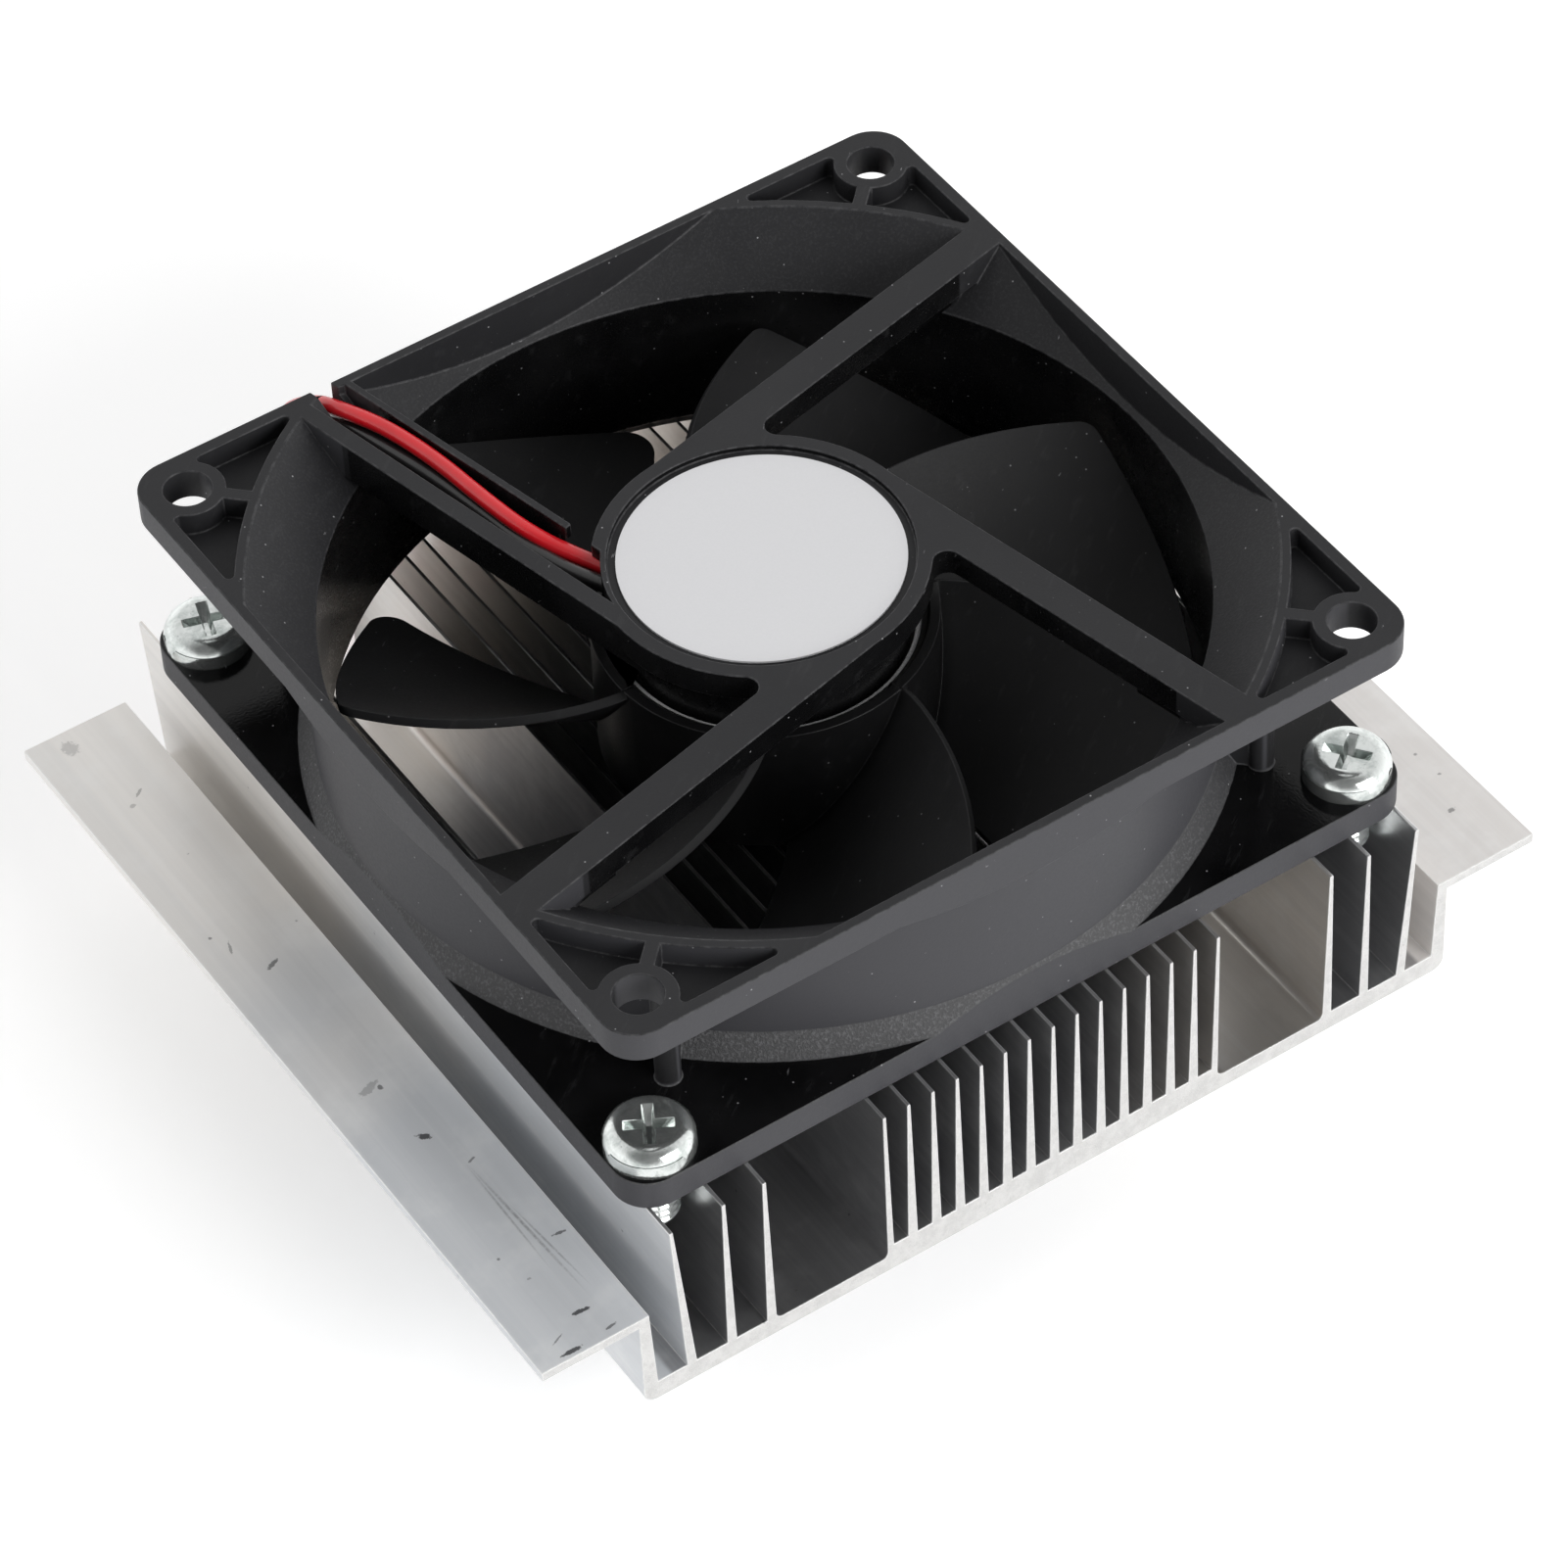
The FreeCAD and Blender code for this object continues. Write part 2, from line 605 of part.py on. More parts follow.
def rotor_cup():
    """Drawn steel cup inside the impeller hub, open towards the stator."""
    solid = cylinder(CUP_OUTER_R, CUP_BASE_Z, CUP_RIM_Z)
    solid = solid.cut(cylinder(CUP_INNER_R, CUP_BASE_Z + CUP_FLOOR, FAN_HEIGHT))
    return on_sink(solid.cut(cylinder(SHAFT_R, 0, FAN_HEIGHT)))


def magnet_ring():
    """Ring magnet inside the cup."""
    outer = CUP_INNER_R - FIT_GAP
    return on_sink(ring(outer, MAGNET_INNER_R, MAGNET_Z, MAGNET_Z + MAGNET_HEIGHT))


def shaft_boss():
    """Brass boss that holds the shaft in the cup."""
    z0 = CUP_BASE_Z + CUP_FLOOR
    return on_sink(ring(SHAFT_R + SHAFT_BOSS_WALL, SHAFT_R, z0, z0 + SHAFT_BOSS_HEIGHT))


def sleeve_levels():
    """Bottom and top of the bearing sleeve."""
    low = CUP_BASE_Z + CUP_FLOOR + SHAFT_BOSS_HEIGHT + WASHER_THICKNESS + RUNNING_CLEARANCE
    high = SHAFT_TOP_Z - CLIP_SETBACK - CLIP_THICKNESS - WASHER_THICKNESS - 2 * RUNNING_CLEARANCE
    return low, high


def rotor_shaft():
    """Steel shaft with the groove for its clip."""
    high = sleeve_levels()[1]
    groove_z = high + WASHER_THICKNESS + RUNNING_CLEARANCE
    solid = cylinder(SHAFT_R, CUP_BASE_Z, SHAFT_TOP_Z)
    groove = ring(SHAFT_R + REACH, SHAFT_R - SHAFT_GROOVE_DEPTH, groove_z, groove_z + CLIP_THICKNESS)
    return on_sink(solid.cut(groove))


def retaining_clip():
    """Split ring in the shaft's groove."""
    groove_z = sleeve_levels()[1] + WASHER_THICKNESS + RUNNING_CLEARANCE
    solid = ring(CLIP_R, SHAFT_R - SHAFT_GROOVE_DEPTH, groove_z, groove_z + CLIP_THICKNESS)
    gap = block(0, CLIP_R + REACH, -CLIP_GAP / 2, CLIP_GAP / 2,
                groove_z - REACH, groove_z + CLIP_THICKNESS + REACH)
    return on_sink(solid.cut(gap))


def thrust_washers():
    """Two plastic washers, one at each end of the bearing sleeve."""
    low, high = sleeve_levels()
    outer = SLEEVE_R - 2 * RUNNING_CLEARANCE
    inner = SHAFT_R + 2 * RUNNING_CLEARANCE
    lower = ring(outer, inner, low - WASHER_THICKNESS, low)
    upper = ring(outer, inner, high, high + WASHER_THICKNESS)
    return Part.makeCompound([on_sink(lower), on_sink(upper)])


def bearing_sleeve():
    """Sintered bronze sleeve that the shaft runs in."""
    low, high = sleeve_levels()
    return on_sink(ring(SLEEVE_R, SLEEVE_INNER_R, low, high))


def bearing_tube():
    """Brass tube that stands in the hub's plate and holds the sleeve and the stator."""
    low = sleeve_levels()[0]
    return on_sink(ring(TUBE_R, SLEEVE_R, low, PLATE_TOP_Z))


def pole_plan(z0, z1, arm_width, yoke_r, shoe_r0, shoe_r1):
    """Four-pole outline: a ring round the tube, arms and curved shoes."""
    parts = [ring(yoke_r, TUBE_R, z0, z1)]
    shoes = ring(shoe_r1, shoe_r0, z0, z1)
    slot = block(0, CORE_R + REACH, -POLE_SLOT / 2, POLE_SLOT / 2, z0 - REACH, z1 + REACH)
    step = 360 / POLE_COUNT
    shoes = shoes.cut([turned(slot, step * (i + 0.5)) for i in range(POLE_COUNT)])
    half = arm_width / 2
    arm = block((TUBE_R + yoke_r) / 2, (shoe_r0 + shoe_r1) / 2, -half, half, z0, z1)
    arms = [turned(arm, step * i) for i in range(POLE_COUNT)]
    return fused(parts + arms + [shoes])


def stator_core():
    """Laminated steel core with four poles."""
    yoke_r = TUBE_R + CORE_YOKE_WALL
    top = CORE_BASE_Z + CORE_HEIGHT
    solid = pole_plan(CORE_BASE_Z, top, POLE_WIDTH, yoke_r, CORE_R - POLE_SHOE, CORE_R)
    return on_sink(solid)


def winding_frame(upper):
    """Moulded insulator on one face of the core; the upper one carries the board's posts."""
    yoke_r = TUBE_R + CORE_YOKE_WALL
    z0 = CORE_BASE_Z + CORE_HEIGHT if upper else CORE_BASE_Z - BOBBIN_WALL
    shoe_r = CORE_R - BOBBIN_SETBACK
    solid = pole_plan(z0, z0 + BOBBIN_WALL, POLE_WIDTH, yoke_r, CORE_R - POLE_SHOE, shoe_r)
    if upper:
        circle = TUBE_R + CORE_YOKE_WALL / 2
        for i in (0, 1):
            angle = math.radians(45 + 180 * i)
            x, y = circle * math.cos(angle), circle * math.sin(angle)
            solid = solid.fuse(cylinder(BOARD_POST_R, z0, BOARD_Z, x, y))
    return on_sink(solid.removeSplitter())


def motor_windings():
    """Four coils of enamelled wire, one on each pole."""
    inner = POLE_WIDTH / 2 + FIT_GAP
    x0 = TUBE_R + CORE_YOKE_WALL + BOBBIN_SIDE
    x1 = math.sqrt((CORE_R - POLE_SHOE) ** 2 - (inner + WINDING_BUILD) ** 2) - FIT_GAP
    z0, z1 = CORE_BASE_Z - BOBBIN_WALL, CORE_BASE_Z + CORE_HEIGHT + BOBBIN_WALL
    outer = block(x0, x1, -inner - WINDING_BUILD, inner + WINDING_BUILD,
                  z0 - WINDING_BUILD, z1 + WINDING_BUILD)
    along = [edge for edge in outer.Edges if edge.BoundBox.XLength > (x1 - x0) / 2]
    outer = outer.makeFillet(WINDING_ROUND, along)
    one = outer.cut(block(x0 - REACH, x1 + REACH, -inner, inner, z0, z1))
    step = 360 / POLE_COUNT
    return Part.makeCompound([on_sink(turned(one, step * i)) for i in range(POLE_COUNT)])


def circuit_board():
    """Round board under the hub's plate."""
    outer = SKIRT_R - SKIRT_WALL - 2 * FIT_GAP
    return on_sink(ring(outer, TUBE_R + FIT_GAP, BOARD_Z, BOARD_Z + BOARD_THICKNESS))


def board_part(size, radius, angle):
    """Small moulded part hanging from the board."""
    dx, dy, dz = size
    solid = block(radius - dy / 2, radius + dy / 2, -dx / 2, dx / 2, BOARD_Z - dz, BOARD_Z)
    return on_sink(turned(solid, angle))


def label_disc():
    """Blank pale disc on the hub's plate."""
    return on_sink(cylinder(LABEL_R, PLATE_TOP_Z, PLATE_TOP_Z + LABEL_THICKNESS))


# Heat sink


def sink_outline():
    """Upper outline of the section's right half, from the middle outwards, as (x, z) points."""
    top = SINK_HEIGHT
    last = CENTRE_FIN_COUNT // 2
    points = [(CENTRE_FIN_TIP / 2, top), (CENTRE_FIN_ROOT / 2, BASE_CENTRE)]
    for i in range(1, last + 1):
        centre = i * CENTRE_FIN_PITCH
        points.append((centre - CENTRE_FIN_ROOT / 2, BASE_CENTRE))
        points.append((centre - CENTRE_FIN_TIP / 2, top))
        points.append((centre + CENTRE_FIN_TIP / 2, top))
        foot = BASE_CENTRE if i < last else BASE_WIDE
        lean = CENTRE_FIN_ROOT / 2 if i < last else CENTRE_FIN_TIP / 2
        points.append((centre + lean, foot))
    middle_x = HOLE_XY - SCREW_FIN_GAP - OUTER_FIN_TIP / 2
    edge_x = HOLE_XY + SCREW_FIN_GAP + OUTER_FIN_TIP / 2
    fins = ((INNER_FIN_X, INNER_FIN_X, BASE_WIDE), (middle_x, middle_x, BASE_OUTER),
            (edge_x, edge_x - EDGE_FIN_LEAN, BASE_OUTER))
    for tip_x, root_x, floor in fins:
        points.append((root_x - OUTER_FIN_ROOT / 2, floor))
        points.append((tip_x - OUTER_FIN_TIP / 2, top))
        points.append((tip_x + OUTER_FIN_TIP / 2, top))
        points.append((root_x + OUTER_FIN_ROOT / 2, BASE_OUTER))
    wall_x = FAN_SIDE / 2 + WALL_CLEARANCE
    inner_x = wall_x - SIDE_WALL
    points.append((inner_x - SIDE_WALL_INSET / 2, BASE_OUTER))
    points.append((inner_x + SIDE_WALL_INSET / 2, FLANGE_RISE))
    points.append((wall_x + FLANGE_REACH, FLANGE_RISE))
    points.append((wall_x + FLANGE_REACH, FLANGE_RISE - FLANGE_THICKNESS))
    points.append((wall_x, FLANGE_RISE - FLANGE_THICKNESS))
    points.append((wall_x, 0.0))
    return points


def heat_sink():
    """One aluminium extrusion: base, fins and a Z-shaped flange along each side."""
    right = sink_outline()
    left = [(-x, z) for x, z in reversed(right)]
    outline = [Vector(x, -SINK_LENGTH / 2, z) for x, z in left + right]
    wire = Part.makePolygon(outline + [outline[0]])
    solid = Part.Face(wire).extrude(Vector(0, SINK_LENGTH, 0))
    wall_x = FAN_SIDE / 2 + WALL_CLEARANCE
    block_x = CENTRE_FIN_COUNT // 2 * CENTRE_FIN_PITCH + CENTRE_FIN_TIP / 2
    inner_root = INNER_FIN_X - OUTER_FIN_ROOT / 2
    rounds = {(wall_x, 0.0): BASE_EDGE_ROUND, (block_x, BASE_WIDE): CHANNEL_FILLET,
              (inner_root, BASE_WIDE): CHANNEL_FILLET}
    for (x, z), radius in rounds.items():
        edges = []
        for edge in solid.Edges:
            box = edge.BoundBox
            if abs(abs(box.Center.x) - x) < 0.01 and abs(box.Center.z - z) < 0.01 and box.YLength > 1:
                edges.append(edge)
        solid = solid.makeFillet(radius, edges)
    top = SINK_HEIGHT
    shank = FAN_SCREW_LENGTH - FAN_FLANGE
    bite_r = FAN_SCREW_R + FIT_GAP
    foot = top - shank - FIT_GAP
    bites = [cylinder(bite_r, foot, top + REACH, x, y + FAN_SHIFT) for x, y in SCREW_POINTS]
    half = CLAMP_SPACING / 2
    taps = [cylinder(CLAMP_SCREW_R, -REACH, CLAMP_BITE, 0, y) for y in (-half, half)]
    solid = solid.cut(bites + taps)
    solid.translate(Vector(0, 0, SINK_Z))
    return solid


# Screws


def cross_recess(top):
    """Tapered cross recess, its rim at a given height."""
    half = CROSS_WIDTH / 2
    slots = []
    for rim_x, rim_y in ((CROSS_REACH, half), (half, CROSS_REACH)):
        sections = []
        for share, z in ((CROSS_TAPER, top - CROSS_DEPTH), (1.0, top)):
            x, y = rim_x * share, rim_y * share
            corners = [Vector(-x, -y, z), Vector(x, -y, z), Vector(x, y, z), Vector(-x, y, z)]
            sections.append(Part.makePolygon(corners + [corners[0]]))
        slots.append(Part.makeLoft(sections, True, True))
    return slots[0].fuse(slots[1])


def pan_screw(angle):
    """Self-tapping pan-head screw, its head's seat at height zero and its shank downwards."""
    r, edge, height = FAN_SCREW_HEAD_R, FAN_SCREW_HEAD_EDGE, FAN_SCREW_HEAD
    crown_r = r * HEAD_CROWN
    outline = [Vector(0, 0, 0), Vector(r, 0, 0), Vector(r, 0, edge)]
    middle = Vector(r * HEAD_CHEEK[0], 0, edge + (height - edge) * HEAD_CHEEK[1])
    side = Part.Arc(outline[2], middle, Vector(crown_r, 0, height)).toShape()
    edges = [Part.makeLine(outline[0], outline[1]), Part.makeLine(outline[1], outline[2]), side,
             Part.makeLine(Vector(crown_r, 0, height), Vector(0, 0, height)),
             Part.makeLine(Vector(0, 0, height), outline[0])]
    head = Part.Face(Part.Wire(edges)).revolve(Vector(0, 0, 0), Vector(0, 0, 1), 360)
    plain = FAN_SCREW_LENGTH - FAN_SCREW_TIP
    shank = cylinder(FAN_SCREW_R, -plain, 0)
    foot = Vector(0, 0, -FAN_SCREW_LENGTH)
    tip = Part.makeCone(FAN_SCREW_R * TIP_TAPER, FAN_SCREW_R, FAN_SCREW_TIP, foot)
    solid = fused([head, shank, tip]).cut(cross_recess(height))
    return turned(solid, angle)


def fan_screws():
    """Four screws through the frame's foot, biting between two fins each."""
    screws = []
    for (x, y), angle in zip(SCREW_POINTS, CROSS_ANGLES):
        screw = pan_screw(angle)
        screw.translate(Vector(x, y, FAN_FLANGE))
        screws.append(on_sink(screw))
    return Part.makeCompound(screws)


def clamp_screws():
    """Two screws that draw the cold plate up against the tile."""
    seat = CLAMP_SEAT_DEPTH - BUSH_FLANGE
    screws = []
    for y in (-CLAMP_SPACING / 2, CLAMP_SPACING / 2):
        head = cylinder(CLAMP_HEAD_R, seat - CLAMP_HEAD, seat, 0, y)
        half = CLAMP_SLOT_WIDTH / 2
        foot = seat - CLAMP_HEAD
        slot = block(-CLAMP_HEAD_R, CLAMP_HEAD_R, y - half, y + half, foot, foot + CLAMP_SLOT_DEPTH)
        shank = cylinder(CLAMP_SCREW_R, seat, SINK_Z + CLAMP_BITE, 0, y)
        screws.append(fused([head, shank]).cut(slot))
    return Part.makeCompound(screws)


def clamp_bushes():
    """Two flanged bushes that keep the clamp screws from carrying heat into the cold plate."""
    bushes = []
    for y in (-CLAMP_SPACING / 2, CLAMP_SPACING / 2):
        flange = cylinder(BUSH_FLANGE_R, CLAMP_SEAT_DEPTH - BUSH_FLANGE, CLAMP_SEAT_DEPTH, 0, y)
        inner = CLAMP_SCREW_R + BUSH_CLEARANCE
        body = cylinder(inner + BUSH_WALL, CLAMP_SEAT_DEPTH - BUSH_FLANGE, PLATE_THICKNESS, 0, y)
        bushes.append(fused([flange, body]).cut(cylinder(inner, 0, SINK_Z, 0, y)))
    return Part.makeCompound(bushes)


# Tile and cold plate


def cold_plate():
    """Aluminium block that takes up the heat, with two counterbored holes."""
    solid = plate(PLATE_WIDTH, PLATE_LENGTH, 0, PLATE_THICKNESS)
    solid = solid.makeChamfer(PLATE_CHAMFER, solid.Edges)
    cuts = []
    hole_r = CLAMP_SCREW_R + 2 * BUSH_CLEARANCE + BUSH_WALL
    for y in (-CLAMP_SPACING / 2, CLAMP_SPACING / 2):
        cuts.append(cylinder(hole_r, -REACH, PLATE_THICKNESS + REACH, 0, y))
        cuts.append(cylinder(BUSH_FLANGE_R + BUSH_CLEARANCE, -REACH, CLAMP_SEAT_DEPTH, 0, y))
    return solid.cut(cuts)


def insulation_gasket():
    """Foam frame round the tile, between the cold plate and the heat sink's base."""
    inner = TILE_SIDE + 2 * GASKET_CLEARANCE
    solid = plate(PLATE_WIDTH, PLATE_LENGTH, TILE_Z, SINK_Z)
    cuts = [plate(inner, inner, TILE_Z - REACH, SINK_Z + REACH)]
    for y in (-CLAMP_SPACING / 2, CLAMP_SPACING / 2):
        cuts.append(cylinder(CLAMP_SCREW_R + GASKET_CLEARANCE, 0, SINK_Z + REACH, 0, y))
    return solid.cut(cuts)


def ceramic(hot):
    """Alumina plate on one face of the tile."""
    z0 = SINK_Z - CERAMIC if hot else TILE_Z
    return plate(TILE_SIDE, TILE_SIDE, z0, z0 + CERAMIC)


def leg_centre(row, column):
    """Plan position of one semiconductor leg."""
    half = (LEG_ROWS - 1) / 2
    return (column - half) * LEG_PITCH, (row - half) * LEG_PITCH


def semiconductor_legs():
    """Square grid of legs between the copper tabs."""
    z0 = TILE_Z + CERAMIC + TAB_THICKNESS
    half = LEG_SIDE / 2
    legs = []
    for row in range(LEG_ROWS):
        for column in range(LEG_ROWS):
            x, y = leg_centre(row, column)
            legs.append(block(x - half, x + half, y - half, y + half, z0, z0 + LEG_HEIGHT))
    return Part.makeCompound(legs)


def tab(cell_a, cell_b, z0):
    """Copper tab that joins two neighbouring legs."""
    xa, ya = leg_centre(*cell_a)
    xb, yb = leg_centre(*cell_b)
    half = LEG_SIDE / 2
    return block(min(xa, xb) - half, max(xa, xb) + half, min(ya, yb) - half, max(ya, yb) + half,
                 z0, z0 + TAB_THICKNESS)


def cold_tabs():
    """Tabs on the cold side: each joins two legs of one row."""
    z0 = TILE_Z + CERAMIC
    pairs = []
    for row in range(LEG_ROWS):
        pairs += [((row, column), (row, column + 1)) for column in range(0, LEG_ROWS, 2)]
    return Part.makeCompound([tab(a, b, z0) for a, b in pairs])


def hot_tabs():
    """Tabs on the hot side: they step along each row and join the rows' ends in turn."""
    z0 = TILE_Z + CERAMIC + TAB_THICKNESS + LEG_HEIGHT
    pairs = []
    for row in range(LEG_ROWS):
        pairs += [((row, column), (row, column + 1)) for column in range(1, LEG_ROWS - 1, 2)]
        end = LEG_ROWS - 1 if row % 2 == 0 else 0
        if row < LEG_ROWS - 1:
            pairs.append(((row, end), (row + 1, end)))
    tabs = [tab(a, b, z0) for a, b in pairs]
    terminals = [(0, 0), (LEG_ROWS - 1, 0)]
    tabs += [tab(cell, cell, z0) for cell in terminals]
    return Part.makeCompound(tabs)


def edge_seal():
    """Silicone bead round the tile's edge, between the two ceramic plates."""
    inner = TILE_SIDE - 2 * SEAL_WALL
    outer = plate(TILE_SIDE, TILE_SIDE, TILE_Z + CERAMIC, SINK_Z - CERAMIC)
    return outer.cut(plate(inner, inner, TILE_Z, SINK_Z))


# Leads


def channel_point(across, along, height):
    """Point given across and along the channel strut and above the frame's top."""
    angle = math.radians(STRUT_START_ANGLE + 90)
    x = across * math.sin(angle) + along * math.cos(angle)
    y = -across * math.cos(angle) + along * math.sin(angle)
    return Vector(x, y + FAN_SHIFT, FAN_Z + FAN_HEIGHT + height)


def round_path(points):
    """Straight runs joined by tangent arcs, each as large as its two runs allow."""
    edges = []
    radii = []
    at = points[0]
    for i in range(1, len(points) - 1):
        back = (points[i - 1] - points[i])
        ahead = (points[i + 1] - points[i])
        shorter = min(back.Length, ahead.Length)
        turn = math.pi - back.getAngle(ahead)
        cut = 0.45 * shorter
        radius = cut / math.tan(turn / 2)
        start = points[i] + back.normalize() * cut
        end = points[i] + ahead.normalize() * cut
        inward = (back + ahead).normalize()
        centre = points[i] + inward * (radius / math.cos(turn / 2))
        middle = centre - inward * radius
        edges.append(Part.LineSegment(at, start).toShape())
        edges.append(Part.Arc(start, middle, end).toShape())
        radii.append(radius)
        at = end
    edges.append(Part.LineSegment(at, points[-1]).toShape())
    return Part.Wire(edges), radii


def lead_tube(points, name):
    """Round lead along a route of straight runs and tangent arcs."""
    path, radii = round_path(points)
    start = points[0]
    direction = points[1] - points[0]
    circle = Part.Wire(Part.makeCircle(LEAD_R, start, direction))
    solid = path.makePipeShell([circle], True, True)
    expected = math.pi * LEAD_R ** 2 * path.Length
    print(name, "radii", [round(r, 1) for r in radii])
    print(name, "length", round(path.Length, 1), "volume ratio", round(solid.Volume / expected, 4))
    return solid


def coil_start(black):
    """Middle of the lead where it meets the foot of its coil; the black coil lies on the red one."""
    level = LEAD_R + (COIL_TURNS + 1) * COIL_PITCH * black
    return Vector(COIL_CENTRE[0], COIL_CENTRE[1] - COIL_R, level)


def plug_entry(black):
    """Middle of the lead where it meets the plug's rear face."""
    side = PLUG_PITCH / 2 if black else -PLUG_PITCH / 2
    return Vector(PLUG_X, PLUG_Y + side, PLUG_SIZE[2] / 2)


def lead(channel, behind, black, name):
    """One lead from the board to its coil."""
    points = [channel_point(*p) for p in channel] + [Vector(*p) for p in behind] + [coil_start(black)]
    return lead_tube(points, name)


def tail(middle, black, name):
    """One lead from the top of its coil to the plug."""
    top = coil_start(black) + Vector(0, 0, COIL_TURNS * COIL_PITCH)
    return lead_tube([top] + [Vector(*p) for p in middle] + [plug_entry(black)], name)


def coil(black):
    """Outer shape of one coil."""
    x, y = COIL_CENTRE
    low = coil_start(black).z - LEAD_R
    return ring(COIL_R + LEAD_R, COIL_R - LEAD_R, low, low + 2 * LEAD_R + COIL_TURNS * COIL_PITCH, x, y)


def lead_plug():
    """Two-way plug housing with a key on top and a cavity for each contact."""
    length, width, height = PLUG_SIZE
    x0, y0 = PLUG_X, PLUG_Y - width / 2
    solid = block(x0, x0 + length, y0, y0 + width, 0, height)
    key_length, key_width, key_height = PLUG_KEY
    key = block(x0 + length - key_length, x0 + length, PLUG_Y - key_width / 2, PLUG_Y + key_width / 2,
                height - REACH, height + key_height)
    cavities = []
    half = PLUG_CAVITY / 2
    for black in (False, True):
        entry = plug_entry(black)
        cavities.append(block(x0 + PLUG_BACK, x0 + length + REACH, entry.y - half, entry.y + half,
                              entry.z - half, entry.z + half))
    return fused([solid, key]).cut(cavities)


def plug_contacts():
    """Two square sockets, one at the back of each cavity."""
    length, width, height = CONTACT_SIZE
    contacts = []
    for black in (False, True):
        entry = plug_entry(black)
        x0 = PLUG_X + PLUG_BACK
        y0, y1 = entry.y - width / 2, entry.y + width / 2
        z0 = entry.z - PLUG_CAVITY / 2
        z1 = z0 + height
        outer = block(x0, x0 + length, y0, y1, z0, z1)
        wall = CONTACT_WALL
        inner = block(x0 + wall, x0 + length + REACH, y0 + wall, y1 - wall, z0 + wall, z1 - wall)
        contacts.append(outer.cut(inner))
    return Part.makeCompound(contacts)


PARTS = {
    "heat_sink": heat_sink,
    "fan_frame": fan_frame,
    "impeller": impeller,
    "rotor_cup": rotor_cup,
    "magnet_ring": magnet_ring,
    "shaft_boss": shaft_boss,
    "rotor_shaft": rotor_shaft,
    "retaining_clip": retaining_clip,
    "thrust_washers": thrust_washers,
    "bearing_sleeve": bearing_sleeve,
    "bearing_tube": bearing_tube,
    "stator_core": stator_core,
    "winding_frame_upper": lambda: winding_frame(True),
    "winding_frame_lower": lambda: winding_frame(False),
    "motor_windings": motor_windings,
    "circuit_board": circuit_board,
    "hall_sensor": lambda: board_part(HALL_SIZE, HALL_RADIUS, HALL_ANGLE),
    "drive_chip": lambda: board_part(CHIP_SIZE, CHIP_RADIUS, CHIP_ANGLE),
    "label_disc": label_disc,
    "fan_screws": fan_screws,
    "clamp_screws": clamp_screws,
    "clamp_bushes": clamp_bushes,
    "cold_plate": cold_plate,
    "insulation_gasket": insulation_gasket,
    "hot_ceramic": lambda: ceramic(True),
    "cold_ceramic": lambda: ceramic(False),
    "semiconductor_legs": semiconductor_legs,
    "hot_tabs": hot_tabs,
    "cold_tabs": cold_tabs,
    "edge_seal": edge_seal,
    "red_lead": lambda: lead(RED_IN_CHANNEL, RED_TO_COIL, False, "red_lead"),
    "black_lead": lambda: lead(BLACK_IN_CHANNEL, BLACK_TO_COIL, True, "black_lead"),
    "red_coil": lambda: coil(False),
    "black_coil": lambda: coil(True),
    "red_tail": lambda: tail(RED_TO_PLUG, False, "red_tail"),
    "black_tail": lambda: tail(BLACK_TO_PLUG, True, "black_tail"),
    "lead_plug": lead_plug,
    "plug_contacts": plug_contacts,
}

os.makedirs("parts", exist_ok=True)
for node, make in PARTS.items():
    shape = make()
    box = shape.BoundBox
    print(node, "solids", len(shape.Solids), "valid", shape.isValid(), "volume", round(shape.Volume, 1),
          "z", round(box.ZMin, 2), round(box.ZMax, 2))
    shape.exportStep("parts/" + node + ".step")
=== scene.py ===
"""Looks of the thermoelectric cooling module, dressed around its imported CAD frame.

Metres. +Z is up, +X runs across the fins and +Y along them, as in the frame. The fan stands on the
heat sink; the tile, its gasket and the cold plate are below it, and the leads lie behind it.
"""

import logging
import math
from dataclasses import dataclass
from enum import Enum

import bmesh
import bpy
from mathutils import Matrix, Vector


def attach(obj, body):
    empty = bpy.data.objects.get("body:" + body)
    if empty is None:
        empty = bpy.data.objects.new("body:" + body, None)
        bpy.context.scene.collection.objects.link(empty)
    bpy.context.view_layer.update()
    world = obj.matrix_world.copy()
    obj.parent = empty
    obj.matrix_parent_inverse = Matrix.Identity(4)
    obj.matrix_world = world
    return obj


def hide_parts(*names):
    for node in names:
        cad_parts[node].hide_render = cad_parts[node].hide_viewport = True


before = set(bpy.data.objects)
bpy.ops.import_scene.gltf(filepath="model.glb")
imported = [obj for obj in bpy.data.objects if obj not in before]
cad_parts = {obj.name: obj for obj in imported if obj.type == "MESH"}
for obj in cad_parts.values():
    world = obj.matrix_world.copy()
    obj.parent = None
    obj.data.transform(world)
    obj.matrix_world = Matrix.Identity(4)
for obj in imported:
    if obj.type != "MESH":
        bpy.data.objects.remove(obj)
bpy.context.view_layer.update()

log = logging.getLogger("cooling_module")

MM = 0.001
HOUSING = "housing"
ROTOR = "rotor"
FAN_SHIFT = -0.9 * MM
EASED = "eased"

Pair = tuple[float, float]
Point = tuple[float, float, float]
Colour = tuple[float, float, float]
Socket = bpy.types.NodeSocket
Value = Socket | float
Tint = Socket | Colour
Body = tuple[Tint, Value, Value]
Path = tuple[Point, ...]
Shape = bmesh.types.BMesh

WHITE: Colour = (1.0, 1.0, 1.0)


def srgb(red: int, green: int, blue: int) -> Colour:
    """Linear colour of an sRGB one given in whole numbers from 0 to 255."""
    shares = [value / 255 for value in (red, green, blue)]
    return tuple(s / 12.92 if s <= 0.04045 else ((s + 0.055) / 1.055) ** 2.4 for s in shares)


def shaded(colour: Colour, share: float) -> Colour:
    """Colour times a share, with white as its limit."""
    return tuple(min(1.0, share * part) for part in colour)


